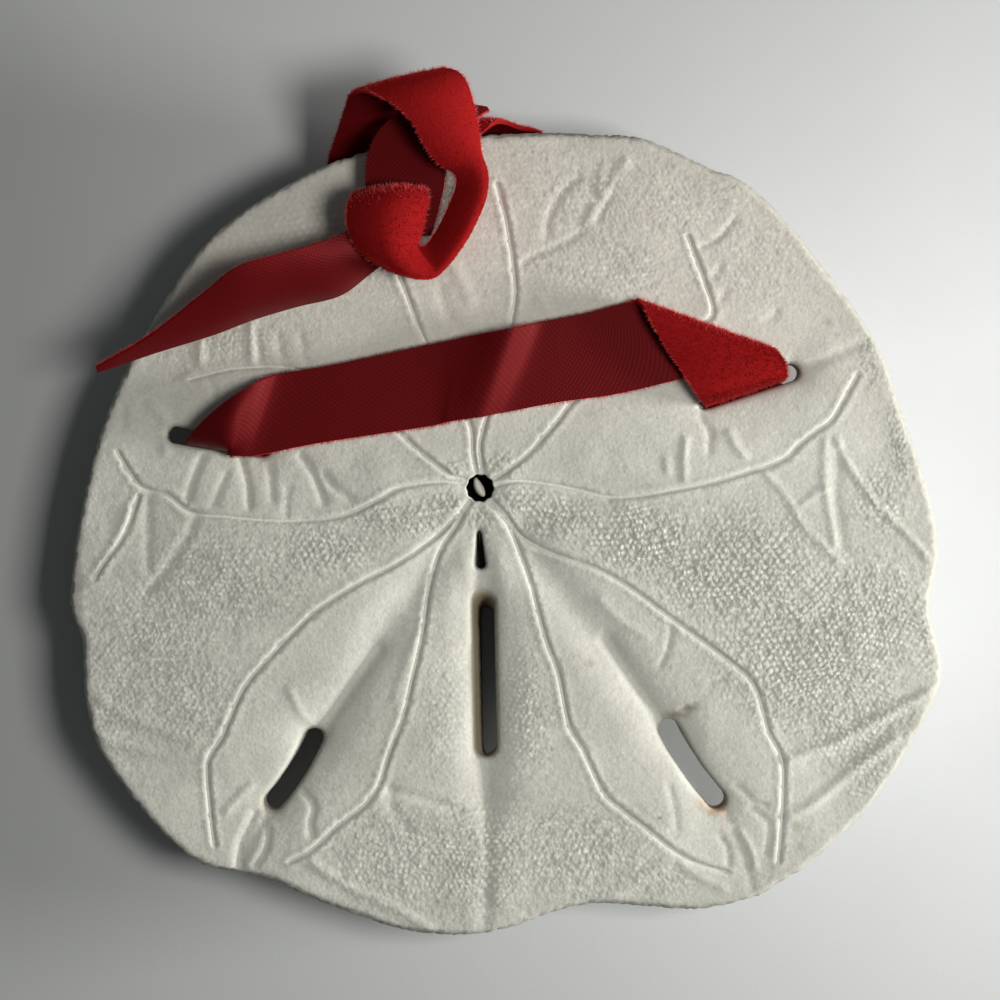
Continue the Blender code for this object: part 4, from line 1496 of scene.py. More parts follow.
    def broad_face(self, side: Side, loops: list[np.ndarray], rows: list[np.ndarray],
                   pitch: float) -> list[np.ndarray]:
        """Add one broad face.

        Args:
            side: which face it is.
            loops: its edge and the holes in it.
            rows: lines of extra points on it.
            pitch: the distance between its other points.

        Returns:
            The numbers of each loop's points.
        """
        grid, middle = self.lattice(pitch, loops, rows)
        extra = np.vstack(rows)
        keep = on_face(extra, loops)
        for loop in loops:
            keep &= loop_distance(extra, loop, MM) > self.row_clearance * pitch
        extra = extra[keep]
        cells = (extra / self.merge_size).round().astype(int)
        extra = extra[np.sort(np.unique(cells, axis=0, return_index=True)[1])]
        edge = np.vstack(loops)
        flat = np.vstack((edge, extra, grid))
        is_grain = np.concatenate((np.zeros(len(edge) + len(extra), dtype=bool), middle))
        links, start = [], 0
        for loop in loops:
            count = len(loop)
            links += [(start + i, start + (i + 1) % count) for i in range(count)]
            start += count
        scaled = [Vector(point) for point in flat / MM]
        _, _, faces, sources, _, _ = delaunay_2d_cdt(scaled, links, [], 0, self.join_gap)
        back = np.array([source[0] for source in sources])
        triangles = back[np.array(faces)]
        triangles = triangles[on_face(flat[triangles].mean(axis=1), loops)]
        numbers = self.add(flat, *self.heights(side, flat, is_grain))
        a, b, c = (flat[triangles[:, k]] for k in range(3))
        turn = ((b[:, 0] - a[:, 0]) * (c[:, 1] - a[:, 1])
                - (b[:, 1] - a[:, 1]) * (c[:, 0] - a[:, 0])) > 0
        flip = turn != (side is Side.MOUTH)
        triangles[flip] = triangles[flip][:, ::-1]
        self.faces += [tuple(row) for row in numbers[triangles].tolist()]
        rings, start = [], 0
        for loop in loops:
            rings.append(numbers[start:start + len(loop)])
            start += len(loop)
        return rings

    def heights(self, side: Side, flat: np.ndarray,
                is_grain: np.ndarray) -> tuple[np.ndarray, np.ndarray, np.ndarray]:
        """Give the heights of a face with its grains.

        Args:
            side: which face it is.
            flat: its plan points.
            is_grain: True where a point is the middle of a grain.

        Returns:
            The heights, the painted shade and spots between grains, and the painted highlights.
        """
        count = len(flat)
        uneven = self.random.uniform(*self.uneven, count)
        fine = self.random.uniform(-1.0, 1.0, count) * self.fine_rise
        spots = self.random.uniform(0.0, self.spots, count)
        if side is Side.FAR:
            rest = np.clip(mouth_distance(flat) / REST_RADIUS - 1.0, 0.0, 1.0)
            grains = is_grain * self.grain_rise * uneven * self.far_lift
            # The far side's grains get painted shade between them
            return (self.relief.far_side(flat) + rest * (fine - grains),
                    np.where(is_grain, 0.0, self.far_gap_shade * rest), np.zeros(count))
        height = self.relief.mouth_side(flat)
        calm = 1 - self.relief.groove_share(flat)
        coarse = self.relief.coarse(flat)
        low, more = self.lift_shares
        lift = is_grain * self.grain_rise * uneven * (low + more * coarse) * calm
        between, spotted = self.gap_shade_and_spot_shares
        # Painted shade between the grains, with random dark spots where the grain is fine
        gap = np.where(is_grain, 0.0, between * coarse) + spotted * spots * (1 - coarse)
        on_grain, on_bank = self.highlight_shares
        # Painted highlight on each coarse grain and along the grooves
        top = is_grain * coarse * calm * uneven * on_grain + on_bank * (1 - calm)
        least, plain, added = self.fine_shares
        rough = least + (plain + added * coarse) * calm
        return height + lift + fine * rough, gap * calm, top

    def wall(self, rings: list[np.ndarray]) -> None:
        """Join rings of points, each to the next, with bands of quads.

        Args:
            rings: the numbers of each ring's points, all of one length.
        """
        for first, second in zip(rings, rings[1:]):
            after, beyond = np.roll(first, -1), np.roll(second, -1)
            quads = np.column_stack((first, after, beyond, second))
            self.faces += [tuple(row) for row in quads.tolist()]

    def floor(self, ring: np.ndarray, centre: np.ndarray, height: float) -> None:
        """Close a ring with a fan round its centre.

        Args:
            ring: the numbers of the ring's points.
            centre: the plan point in its middle.
            height: the height of that point.
        """
        middle = int(self.add(centre[None], np.array([height]))[0])
        for a, b in zip(ring.tolist(), np.roll(ring, -1).tolist()):
            self.faces.append((a, b, middle))

    def rim(self, top: np.ndarray, bottom: np.ndarray) -> None:
        """Add the rounded outer edge with its crumbs.

        Args:
            top: the mouth side's outer ring.
            bottom: the far side's outer ring.
        """
        radius = mouth_distance(OUTLINE_LOOP)
        outer = OUTLINE_LOOP * self.rim_sample
        high, low = self.relief.mouth_side(outer), dome_height(outer)
        middle, half = (high + low) / 2, (high - low) / 2
        rings = [top]
        for k in range(1, self.rim_steps):
            angle = math.pi / 2 - math.pi * k / self.rim_steps
            inset = RIM_INSET * (1 - math.cos(angle))
            rough = self.random.uniform(*self.rim_rough, len(outer))
            shrink = 1.0 - (inset + rough) / radius
            # Random darker points, partly painted shade that dims the lit rim
            crumb_shade = self.random.uniform(0.0, self.rim_crumb_shade, len(outer))
            rings.append(self.add(OUTLINE_LOOP * shrink[:, None],
                                  middle + half * math.sin(angle), crumb_shade))
        rings.append(bottom)
        self.wall([ring[::-1] for ring in rings])

    def slot_wall(self, slot: Slot, top: np.ndarray, bottom: np.ndarray) -> None:
        """Add the wall of one slot, which flares at both faces.

        Args:
            slot: the slot.
            top: the ring of its edge on the mouth side.
            bottom: the ring of its edge on the far side.
        """
        rings = [top]
        upper = []
        for share in self.lip_shares:
            flare = SLOT_FLARE * (1 - math.sin(share * math.pi / 2))
            upper.append((flare, SLOT_LIP * (1 - math.cos(share * math.pi / 2))))
        for flare, drop in upper:
            loop = slot.loop(flare, self.edge_step, self.lip_lean * drop / SLOT_LIP)
            heights = self.relief.mouth_side(loop) - drop - self.lip_drop
            rings.append(self.add(loop, heights))
        middle = slot.loop(0.0, self.edge_step, self.middle_lean)
        rough = self.random.uniform(-self.wall_rough, self.wall_rough, middle.shape) * MM
        depth = (self.relief.mouth_side(middle) + dome_height(middle)) / 2
        rings.append(self.add(middle + rough, depth))
        for flare, drop in upper[::-1]:
            lean = 1.0 if flare < self.narrow_flare else self.lower_lean
            loop = slot.loop(flare, self.edge_step, lean)
            rings.append(self.add(loop, dome_height(loop) + drop + self.lip_drop))
        rings.append(bottom)
        self.wall(rings)

    def mouth_loop(self, share: float) -> np.ndarray:
        """Trace the mouth's edge, which swings in shallow bays.

        Args:
            share: its size, 1 for the mouth's own.

        Returns:
            The loop's plan points.
        """
        angles = np.arange(self.mouth_points) * 2 * math.pi / self.mouth_points
        swing = np.cos(self.mouth_bays * angles + self.bay_turn)
        radius = MOUTH_RADIUS * share * (1 + self.bay_depth * swing)
        return radius[:, None] * np.column_stack((np.cos(angles), np.sin(angles)))

    def mouth(self, top: np.ndarray) -> None:
        """Add the mouth, a deep pit.

        Args:
            top: the ring of its edge.
        """
        rings = [top]
        for share, depth in MOUTH_PROFILE:
            loop = self.mouth_loop(share)
            heights = np.full(len(loop), FACE_HEIGHT - depth * MOUTH_DEPTH)
            rings.append(self.add(loop, heights))
        self.wall(rings)
        self.floor(rings[-1], np.zeros(2), FACE_HEIGHT - MOUTH_DEPTH)

    def vent_pit(self, top: np.ndarray) -> None:
        """Add the vent, a narrow pit between the mouth and the nearest slot.

        Args:
            top: the ring of its edge.
        """
        rings = [top]
        for flare, depth in VENT_PROFILE:
            loop = self.vent.loop(flare * self.vent.half, self.edge_step / 2)
            rings.append(self.add(loop, self.relief.mouth_side(loop) - depth * VENT_DEPTH))
        self.wall(rings)
        centre = self.vent.start + self.vent.forward * self.vent.length / 2
        depth = self.relief.mouth_side(centre[None])[0] - VENT_DEPTH
        self.floor(rings[-1], centre, depth)

    def build(self) -> bpy.types.Object:
        """Build the shell.

        Returns:
            The shell's piece.
        """
        radius = mouth_distance(OUTLINE_LOOP)
        edge = OUTLINE_LOOP * (1 - RIM_INSET / radius)[:, None]
        holes = [slot.loop(SLOT_FLARE, self.edge_step) for slot in self.slots]
        pits = [self.mouth_loop(self.mouth_flare),
                self.vent.loop(self.vent_flare, self.edge_step / 2)]
        rows = self.groove_rows()
        top = self.broad_face(Side.MOUTH, [edge] + holes + pits, rows, self.pitch)
        bottom = self.broad_face(Side.FAR, [edge] + holes, self.relief.petals, self.far_pitch)
        self.rim(top[0], bottom[0])
        for slot, high, low in zip(self.slots, top[1:-2], bottom[1:]):
            self.slot_wall(slot, high, low)
        self.mouth(top[-2])
        self.vent_pit(top[-1])
        points = np.vstack(self.points)
        piece = make_piece("shell_of_sand_dollar", points, self.faces, [self.finish.make()])
        self.dress(piece, points)
        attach(piece, "root")
        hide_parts("sand_dollar")
        log.info("shell: %d points, %d faces", len(points), len(self.faces))
        return piece

    def dress(self, piece: bpy.types.Object, points: np.ndarray) -> None:
        """Keep the tints of the shell at its points: painted shade and highlights, tone and stains.

        Args:
            piece: the shell's piece.
            points: its points.
        """
        shade_and_tint = self.shade_and_tint
        flat, height = points[:, :2], points[:, 2]
        radius = mouth_distance(flat)
        depth = self.relief.mouth_side(flat) - height
        sunk = np.clip(depth / shade_and_tint.sunk_depth, 0.0, 1.0)
        rise = height - dome_height(flat) - shade_and_tint.upper_start
        upper = np.clip(rise / shade_and_tint.upper_run, 0.0, 1.0)
        groove = self.relief.groove_share(flat) * upper
        near_slot = np.zeros(len(flat))
        for slot in self.slots:
            near_slot = np.maximum(near_slot, np.exp(-slot.distance(flat) / shade_and_tint.slot_reach))
        share_out = radius / outline_radius(flat)
        edge = np.clip((share_out - shade_and_tint.edge_start) / shade_and_tint.edge_run, 0.0, 1.0)
        # A darker band along the margin on the right
        dark_margin = (np.clip((share_out - shade_and_tint.dark_margin_start) / shade_and_tint.dark_margin_run, 0.0, 1.0)
                * np.clip(flat[:, 0] / shade_and_tint.dark_margin_across, 0.0, 1.0))
        # Painted shade in the grooves, beside the slots, in sunken places and at the rim
        shade_and_speck = np.clip(shade_and_tint.groove_share * groove + shade_and_tint.slot_share * near_slot
                         + shade_and_tint.sunk_share * sunk * upper + shade_and_tint.dark_margin_share * dark_margin
                         + shade_and_tint.edge_share * edge, 0.0, shade_and_tint.darkest)
        warm = np.clip((flat[:, 1] - shade_and_tint.warm_start) / shade_and_tint.warm_run, 0.0, 1.0)
        warm *= shade_and_tint.warm_share
        warm += shade_and_tint.warm_cloud_share * (shade_and_tint.warm_cloud.at(flat) + shade_and_tint.warm_cloud_lift)
        brown = np.maximum(strongest(flat, BROWN_STAINS), self.brown_wall_and_shade(flat, sunk))
        orange = strongest(flat, ORANGE_STAINS)
        # Painted shade deep in the mouth and the vent
        over_floor = height > shade_and_tint.pit_floor
        in_mouth = (radius < shade_and_tint.mouth_reach * MOUTH_RADIUS) & over_floor
        pit_depth = np.where(in_mouth, FACE_HEIGHT - shade_and_tint.mouth_dark - height, 0.0)
        in_vent = (self.vent.distance(flat) < shade_and_tint.vent_reach) & over_floor
        pit_depth = np.where(in_vent, FACE_HEIGHT - shade_and_tint.vent_dark - height, pit_depth)
        keep_values(piece, "shade_and_speck", shade_and_speck)
        # Painted shade between the grains with random spots, then painted highlights
        keep_values(piece, "gap", np.concatenate(self.gap_shade_and_spots))
        keep_values(piece, "top", np.concatenate(self.painted_highlights))
        keep_values(piece, "coarse", self.relief.coarse(flat))
        keep_values(piece, "warm", np.clip(warm, 0.0, 1.0))
        keep_values(piece, "brown", brown)
        keep_values(piece, "orange", orange * upper)
        keep_values(piece, "deep", np.clip(pit_depth / shade_and_tint.pit_run, 0.0, 1.0))

    def brown_wall_and_shade(self, flat: np.ndarray, sunk: np.ndarray) -> np.ndarray:
        """Say how brown the slot below the mouth is, partly as painted shade.

        Args:
            flat: the shell's plan points.
            sunk: how far below the face each one lies, from 0 to 1.

        Returns:
            One value from 0 to 1 for each point.
        """
        shade_and_tint, first = self.shade_and_tint, self.slots[0]
        local = flat - first.start
        left = np.clip(0.5 - local @ first.side / shade_and_tint.brown_across, 0.0, 1.0)
        upper_end = np.clip(1.0 - (local @ first.forward) / shade_and_tint.brown_along, 0.0, 1.0)
        wall = (np.exp(-first.distance(flat) / shade_and_tint.brown_reach)
                * np.clip(sunk * shade_and_tint.brown_gain, 0.0, 1.0))
        # The left wall's own tan, and painted shade towards the upper end
        share = (shade_and_tint.brown_left_share * left + shade_and_tint.brown_end_share * upper_end
                 + shade_and_tint.brown_least)
        return wall * np.clip(share, 0.0, shade_and_tint.darkest)


# The ribbon

def station(inner: tuple, outer: tuple, bow: float) -> np.ndarray:
    """Give one station of the ribbon.

    Args:
        inner: the inner edge's pixel and its height in millimetres.
        outer: the outer edge's pixel and its height in millimetres.
        bow: the rise between the edges towards the satin face, in millimetres.

    Returns:
        Seven numbers in metres.
    """
    first = place(inner[0], inner[1], inner[2] * MM)
    second = place(outer[0], outer[1], outer[2] * MM)
    return np.concatenate((first, second, (bow * MM,)))


@dataclass
class Ribbon:
    """One velvet ribbon, threaded through two slots and tied over the top edge."""

    # The woven strip: its mesh, how thick its ground cloth is, and how sharply its edges turn
    step: float = 0.45 * MM
    across: int = 17
    ground: float = 0.24 * MM
    sharp_angle: float = 50.0
    # Places across, in columns: how far before the number of columns the pile ends and the
    # fringe's inner edge lies, and how far past the first column its outer edge lies
    last_place: float = 1.001
    edge_places: tuple = (1.01, 0.01)
    # The pile: how many fibres, their rise in halves of the ribbon's thickness, and how they
    # wander and lean and how deep their roots are, in millimetres
    fibres: int = 48000
    pile_rise: tuple = (0.62, 0.79)
    pile_wander: float = 0.07
    pile_lean: float = 0.16
    root_depth: float = 0.02
    pile_width: float = 0.10 * MM
    # The fringe along both edges, in millimetres
    fringe: int = 14000
    fringe_depth: tuple = (-0.05, 0.35)
    fringe_reach: tuple = (0.05, 0.48)
    fringe_root: float = 0.10
    fringe_lean: float = 0.12
    fringe_wander: float = 0.08
    fringe_width: float = 0.075 * MM
    # The fibres that stand out at sharp bends, in millimetres
    standing: int = 8000
    bend_start: float = 0.22
    bend_most: float = 0.8
    bend_rise: tuple = (0.40, 0.80)
    bend_wander: float = 0.10
    bend_lean: float = 0.05
    satin: SatinFinish = SatinFinish()
    backing: BackingFinish = BackingFinish()
    pile: PileFinish = PileFinish()
    # The fringe and the fibres at bends are painted pale pink, as a sheen
    edge_pile: PileFinish = PileFinish("velvet_fringe", (0.32, 0.01, 0.012),
                                       (0.46, 0.025, 0.028), (0.64, 0.18, 0.18), 0.3)

    def __post_init__(self) -> None:
        """Work out the ribbon's middle surface."""
        self.random = np.random.default_rng(5)
        self.surface = self.middle_surface(self.stations())
        along = np.gradient(self.surface, axis=0)
        across = np.gradient(self.surface, axis=1)
        normals = np.cross(along, across)
        self.normals = normals / np.linalg.norm(normals, axis=2)[..., None]
        middle = self.surface[:, self.across // 2]
        steps = np.linalg.norm(np.diff(middle, axis=0), axis=1)
        self.along = np.concatenate(((0.0,), np.cumsum(steps)))

    def crossing(self, middles: list, toward_inner: float) -> list[np.ndarray]:
        """Give the stations where the ribbon runs behind the shell.

        Args:
            middles: the pixels of its middle line.
            toward_inner: 1 or -1, the side on which the inner edge lies.

        Returns:
            The stations.
        """
        rows = []
        half = RIBBON_PIXELS / 2
        path = np.array(middles, dtype=float)
        drop = RIBBON_THICKNESS / 2 + LAYER_GAP
        for middle, run in zip(path, np.gradient(path, axis=0)):
            side = np.array((-run[1], run[0])) / np.hypot(*run) * toward_inner
            edges = plan([middle + side * half, middle - side * half])
            low = dome_height(edges) - drop
            rows.append(np.concatenate((edges[0], low[:1], edges[1], low[1:], (0.0,))))
        return rows

    def through_slot(self, span: tuple, upwards: bool) -> list[np.ndarray]:
        """Give the stations where the ribbon stands in a slot.

        Args:
            span: the pixels of its inner and outer edge.
            upwards: whether it comes up through the slot.

        Returns:
            The stations.
        """
        points = plan(span)
        low = dome_height(points)
        share_out = mouth_distance(points) / outline_radius(points)
        high = FACE_HEIGHT - FACE_FALL * share_out ** 2 - FUNNEL_DEPTH
        rows = []
        for share in SLOT_LEVELS:
            heights = low + (high - low) * share
            rows.append(np.concatenate((points[0], heights[:1], points[1], heights[1:],
                                        (0.0,))))
        return rows if upwards else rows[::-1]

    def stations(self) -> np.ndarray:
        """Give all the ribbon's stations in order.

        Returns:
            One row of seven numbers for each station.
        """
        rows = [station(*entry) for entry in TAIL + KNOT + BEHIND_LEFT + HALF_TWIST]
        rows += self.crossing(CROSSING_LEFT, 1.0)
        rows += self.through_slot(LEFT_SLOT_SPAN, True)
        rows += [station(*entry) for entry in STRAP]
        rows += self.through_slot(RIGHT_SLOT_SPAN, False)
        rows += self.crossing(CROSSING_RIGHT, -1.0)
        rows += [station(*entry) for entry in HIDDEN_END]
        return np.array(rows)

    def middle_surface(self, stations: np.ndarray) -> np.ndarray:
        """Lay the ribbon's middle surface through its stations.

        Args:
            stations: all stations in order.

        Returns:
            Rows of points across the ribbon.
        """
        path = smooth_path(stations, self.step)
        inner, outer, bow = path[:, :3], path[:, 3:6], path[:, 6]
        travel = np.gradient((inner + outer) / 2, axis=0)
        normal = np.cross(travel, inner - outer)
        normal /= np.linalg.norm(normal, axis=1)[:, None]
        rows = []
        for share in np.linspace(0.0, 1.0, self.across):
            swell = (4 * share * (1 - share) * bow)[:, None] * normal
            rows.append(outer + (inner - outer) * share + swell)
        return np.stack(rows, axis=1)

    def build(self) -> bpy.types.Object:
        """Build the woven strip with its satin face and its ground cloth.

        Returns:
            The strip's piece.
        """
        half = RIBBON_THICKNESS / 2
        upper = self.surface + self.normals * half
        lower = self.surface - self.normals * self.ground
        rings = np.concatenate((upper, lower[:, ::-1]), axis=1)
        count = rings.shape[1]
        faces, cloth = [], []
        for i in range(len(rings) - 1):
            for k in range(count):
                a, b = i * count + k, i * count + (k + 1) % count
                faces.append((a, a + count, b + count, b))
                cloth.append(Cloth.SATIN if k < self.across - 1 else Cloth.BACKING)
        last = (len(rings) - 1) * count
        for k in range(self.across - 1):
            a, b, c, d = k, k + 1, count - 2 - k, count - 1 - k
            faces.append((a, b, c, d))
            faces.append((last + d, last + c, last + b, last + a))
            cloth += [Cloth.BACKING, Cloth.BACKING]
        piece = make_piece("velvet_ribbon", rings.reshape(-1, 3), faces,
                           [self.satin.make(), self.backing.make()])
        for polygon, kind in zip(piece.data.polygons, cloth):
            polygon.material_index = kind.value
        self.unroll(piece, count)
        piece.data.set_sharp_from_angle(angle=math.radians(self.sharp_angle))
        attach(piece, "root")
        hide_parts("ribbon")
        log.info("ribbon: %.0f mm long, %d faces", self.along[-1] / MM, len(faces))
        return piece

    def unroll(self, piece: bpy.types.Object, count: int) -> None:
        """Give every corner its place along and across the ribbon.

        Args:
            piece: the strip's piece.
            count: how many points its rings have.
        """
        layer = piece.data.uv_layers.new(name="unrolled")
        corners = np.zeros(len(piece.data.loops), dtype=np.int64)
        piece.data.loops.foreach_get("vertex_index", corners)
        ring, place_in_ring = corners // count, corners % count
        across = np.where(place_in_ring < self.across, place_in_ring,
                          count - 1 - place_in_ring)
        flat = np.column_stack((self.along[ring],
                                across * RIBBON_WIDTH / (self.across - 1)))
        layer.data.foreach_set("uv", flat.astype(np.float32).ravel())

    def at(self, ring: np.ndarray, across: np.ndarray) -> tuple[np.ndarray, ...]:
        """Find places on the middle surface.

        Args:
            ring: the place along, in rings.
            across: the place across, from 0 to the last column.

        Returns:
            The points, the normals towards the satin face and the directions of travel.
        """
        i = np.clip(np.floor(ring).astype(int), 0, len(self.surface) - 2)
        k = np.clip(np.floor(across).astype(int), 0, self.across - 2)
        u, v = (ring - i)[:, None], (across - k)[:, None]
        found = []
        for grid in (self.surface, self.normals):
            found.append((grid[i, k] * (1 - u) + grid[i + 1, k] * u) * (1 - v)
                         + (grid[i, k + 1] * (1 - u) + grid[i + 1, k + 1] * u) * v)
        travel = self.surface[i + 1, k] - self.surface[i, k]
        travel /= np.maximum(np.linalg.norm(travel, axis=1), 1e-9)[:, None]
        normal = found[1] / np.linalg.norm(found[1], axis=1)[:, None]
        return found[0], normal, travel

    def spikes(self, name: str, roots: np.ndarray, tips: np.ndarray, width: float,
               finish: PileFinish) -> bpy.types.Object:
        """Make closed three-sided fibres.

        Args:
            name: the piece's name.
            roots: where the fibres start.
            tips: where they end.
            width: how wide a root is.
            finish: their finish.

        Returns:
            The fibres as one piece.
        """
        lean = tips - roots
        lean /= np.linalg.norm(lean, axis=1)[:, None]
        other = np.where(np.abs(lean[:, 2:]) > 0.9, (1.0, 0.0, 0.0), (0.0, 0.0, 1.0))
        side = np.cross(lean, other)
        side /= np.linalg.norm(side, axis=1)[:, None]
        third = np.cross(lean, side)
        corners = [tips]
        for k in range(3):
            angle = 2 * math.pi * k / 3
            corners.append(roots + width / 2 * (side * math.cos(angle)
                                                + third * math.sin(angle)))
        points = np.stack(corners, axis=1).reshape(-1, 3)
        start = np.arange(len(roots)) * 4
        faces = []
        for a, b, c in ((0, 1, 2), (0, 2, 3), (0, 3, 1), (3, 2, 1)):
            faces.append(np.column_stack((start + a, start + b, start + c)))
        faces = [tuple(row) for row in np.vstack(faces).tolist()]
        piece = make_piece(name, points, faces, [finish.make()])
        piece.data.shade_flat()
        # How much painted sheen each fibre's end gets; its root corners get none
        share = self.random.uniform(0.1, 0.75, len(roots))
        height = np.column_stack((share, *([share * 0.0] * 3))).ravel()
        keep_values(piece, "height", height)
        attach(piece, "root")
        log.info("%s: %d fibres", name, len(roots))
        return piece

    def build_pile(self) -> bpy.types.Object:
        """Build the pile that stands on the velvet face.

        Returns:
            The pile's piece.
        """
        count = self.fibres
        widths = np.linalg.norm(np.diff(self.surface, axis=1), axis=2).sum(1)
        steps = np.gradient(self.along)
        area = np.cumsum(widths * steps)
        ring = np.interp(self.random.uniform(0.0, area[-1], count), area,
                         np.arange(len(area)))
        across = self.random.uniform(0.0, self.across - self.last_place, count)
        point, normal, travel = self.at(ring, across)
        rise = self.random.uniform(*self.pile_rise, count)[:, None] * (RIBBON_THICKNESS / 2)
        wander = self.random.normal(0.0, self.pile_wander * MM, (count, 3))
        roots = point - normal * (self.ground - self.root_depth * MM)
        tips = point - normal * rise + wander + travel * self.pile_lean * MM
        return self.spikes("velvet_pile", roots, tips, self.pile_width, self.pile)

    def build_fringe(self) -> bpy.types.Object:
        """Build the fibres that stand out from the velvet's edges and sharp bends, with painted
        sheen.

        Returns:
            The fringe's piece.
        """
        count = self.fringe
        spread = np.interp(self.random.uniform(0.0, self.along[-1], count), self.along,
                           np.arange(len(self.along)))
        inner = self.random.random(count) < 0.5
        across = np.where(inner, self.across - self.edge_places[0], self.edge_places[1])
        point, normal, _ = self.at(spread, across)
        i = np.clip(spread.astype(int), 0, len(self.surface) - 1)
        out = self.surface[i, -1] - self.surface[i, 0]
        out /= np.linalg.norm(out, axis=1)[:, None]
        out[~inner] *= -1
        depth = self.random.uniform(*self.fringe_depth, count)[:, None] * MM
        roots = point - normal * depth - out * self.fringe_root * MM
        reach = self.random.uniform(*self.fringe_reach, count)[:, None] * MM
        wander = self.random.normal(0.0, self.fringe_wander * MM, (count, 3))
        tips = (roots + out * (reach + self.fringe_root * MM)
                - normal * self.fringe_lean * MM + wander)
        bend_roots, bend_tips = self.bend_fibres()
        return self.spikes("velvet_fringe", np.vstack((roots, bend_roots)),
                           np.vstack((tips, bend_tips)), self.fringe_width, self.edge_pile)

    def bend_fibres(self) -> tuple[np.ndarray, np.ndarray]:
        """Lay the fibres that stand out where the velvet is bent outwards.

        Returns:
            Their roots and their tips.
        """
        middle = self.across // 2
        travel = np.gradient(self.surface[:, middle], axis=0)
        turn = np.gradient(self.normals[:, middle], axis=0)
        step = np.linalg.norm(travel, axis=1)
        bend = -np.sum(turn * travel, axis=1) / step ** 2
        sharp = np.clip(bend * MM - self.bend_start, 0.0, self.bend_most)
        weight = np.cumsum(sharp * step)
        count = self.standing
        ring = np.interp(self.random.uniform(0.0, weight[-1], count), weight,
                         np.arange(len(weight)))
        across = self.random.uniform(0.0, self.across - self.last_place, count)
        point, normal, along = self.at(ring, across)
        rise = self.random.uniform(*self.bend_rise, count)[:, None] * MM
        wander = self.random.normal(0.0, self.bend_wander * MM, (count, 3))
        roots = point - normal * (self.ground - self.root_depth * MM)
        return roots, point - normal * rise + wander + along * self.bend_lean * MM


# The jaw piece

@dataclass
class JawPiece:
    """The pale jaw piece that shows in the mouth.

    A level gives its height from the face in millimetres, its share of the length and half
    its width in millimetres.
    """

    start: tuple = (474, 478)
    end: tuple = (483, 497)
    levels: tuple = ((-4.5, 0.50, 0.34), (-3.4, 0.78, 0.52), (-2.6, 0.9, 0.60),
                     (-2.0, 0.97, 0.58), (-1.5, 1.0, 0.50), (-1.2, 0.9, 0.38),
                     (-1.02, 0.68, 0.22))
    sides: int = 24
    fullness: float = 0.15
    bow: float = 0.12 * MM
    finish: ToothFinish = ToothFinish()

    def build(self) -> bpy.types.Object:
        """Build the jaw piece as a closed tapered wedge.

        Returns:
            The jaw's piece.
        """
        ends = plan([self.start, self.end])
        length = np.linalg.norm(ends[1] - ends[0])
        forward = (ends[1] - ends[0]) / length
        side = np.array((-forward[1], forward[0]))
        middle = ends.mean(0)
        rings = []
        for depth, length_share, half_width in self.levels:
            angles = 2 * math.pi * np.arange(self.sides) / self.sides
            across = half_width * MM * np.sin(angles) * (1 + self.fullness * np.cos(angles))
            along = length / 2 * length_share * np.cos(angles)
            bow = self.bow * np.cos(angles) ** 2
            flat = middle + along[:, None] * forward + (across + bow)[:, None] * side
            heights = np.full(self.sides, FACE_HEIGHT + depth * MM)
            rings.append(np.column_stack((flat, heights)))
        points = np.vstack(rings)
        count = self.sides
        top = (len(rings) - 1) * count
        faces = [tuple(range(count))[::-1], tuple(range(top, top + count))]
        for i in range(len(rings) - 1):
            for k in range(count):
                a, b = i * count + k, i * count + (k + 1) % count
                faces.append((a, b, b + count, a + count))
        piece = make_piece("pale_jaw_piece", points, faces, [self.finish.make()])
        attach(piece, "root")
        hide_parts("jaw_tooth")
        log.info("jaw piece: %d faces", len(faces))
        return piece


# The studio

@dataclass(frozen=True)
class Lamp:
    """A soft rectangular light that looks at the shell."""

    name: str
    place: tuple
    power: float
    size: tuple
    colour: Colour = (1.0, 0.985, 0.96)

    def build(self) -> None:
        """Set the light up in the scene."""
        lamp = bpy.data.lights.new(self.name, "AREA")
        lamp.shape = "RECTANGLE"
        lamp.size, lamp.size_y = self.size
        lamp.energy = self.power
        lamp.color = self.colour
        light = bpy.data.objects.new(self.name, lamp)
        light.location = self.place
        aim = Vector((0.0, 0.0, FACE_HEIGHT)) - Vector(self.place)
        light.rotation_euler = aim.to_track_quat("-Z", "Y").to_euler()
        bpy.context.scene.collection.objects.link(light)


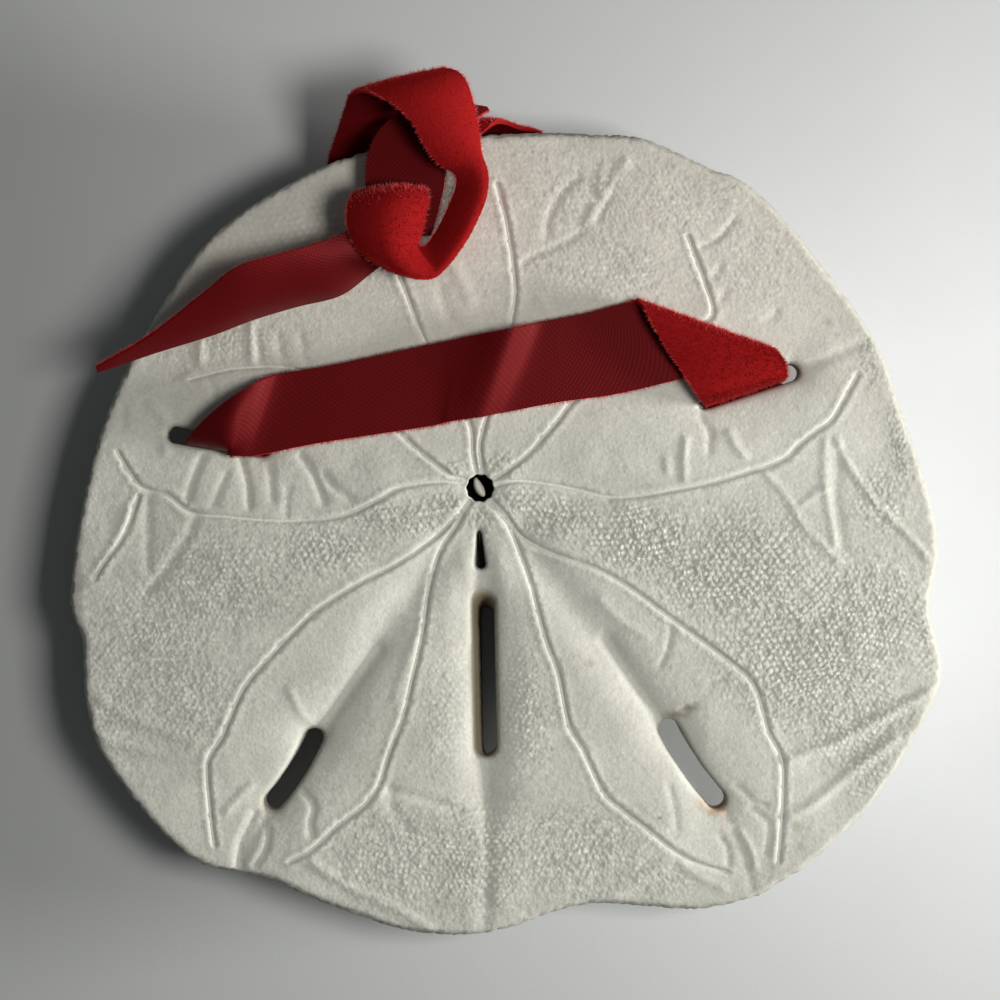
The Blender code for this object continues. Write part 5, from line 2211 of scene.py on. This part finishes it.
@dataclass
class Studio:
    """Pale paper, soft light from the right and the camera straight above."""

    paper_size: float = 1.6
    paper_step: int = 8
    sensor: float = 36.0
    near_clip: float = 10.0 * MM
    sky: float = 0.10
    sky_colour: Colour = (0.93, 0.97, 1.0)
    lamps: tuple = (
        Lamp("window", (0.175, -0.02, 0.30), 0.80, (0.12, 0.12)),
        Lamp("low_window", (0.55, -0.04, 0.10), 4.6, (0.16, 0.07)),
    )
    paper: PaperFinish = PaperFinish()

    def build_floor(self) -> bpy.types.Object:
        """Build the sheet of paper that everything lies on.

        Returns:
            The floor's piece.
        """
        count = self.paper_step + 1
        line = np.linspace(-self.paper_size / 2, self.paper_size / 2, count)
        x, y = np.meshgrid(line, line)
        points = np.column_stack((x.ravel(), y.ravel(), np.zeros(count * count)))
        faces = []
        for i in range(count - 1):
            for k in range(count - 1):
                a = i * count + k
                faces.append((a, a + 1, a + 1 + count, a + count))
        piece = make_piece("paper_floor", points, faces, [self.paper.make()])
        return piece

    def build_lights(self) -> None:
        """Set up the soft light and the even light from all round."""
        world = bpy.data.worlds.new("soft_sky")
        world.use_nodes = True
        sky = world.node_tree.nodes["Background"]
        sky.inputs["Color"].default_value = (*self.sky_colour, 1.0)
        sky.inputs["Strength"].default_value = self.sky
        bpy.context.scene.world = world
        bpy.context.scene.view_settings.view_transform = "Standard"
        for lamp in self.lamps:
            lamp.build()

    def build_camera(self) -> None:
        """Set the camera straight above the picture's middle."""
        lens = bpy.data.cameras.new("camera")
        lens.sensor_width = self.sensor
        lens.lens = self.sensor * VIEW_DISTANCE / (PICTURE_SIZE * PIXEL)
        lens.clip_start = self.near_clip
        camera = bpy.data.objects.new("camera", lens)
        x, y = plan([VIEW_PIXEL])[0]
        camera.location = (x, y, FACE_HEIGHT + VIEW_DISTANCE)
        bpy.context.scene.collection.objects.link(camera)
        bpy.context.scene.camera = camera


def main() -> None:
    """Build every piece and report it."""
    logging.basicConfig(level=logging.INFO, format="%(message)s")
    studio = Studio()
    studio.build_camera()
    studio.build_lights()
    studio.build_floor()
    shell = Shell().build()
    ribbon = Ribbon()
    strip = ribbon.build()
    pile = ribbon.build_pile()
    fringe = ribbon.build_fringe()
    JawPiece().build()


if __name__ == "__main__":
    main()
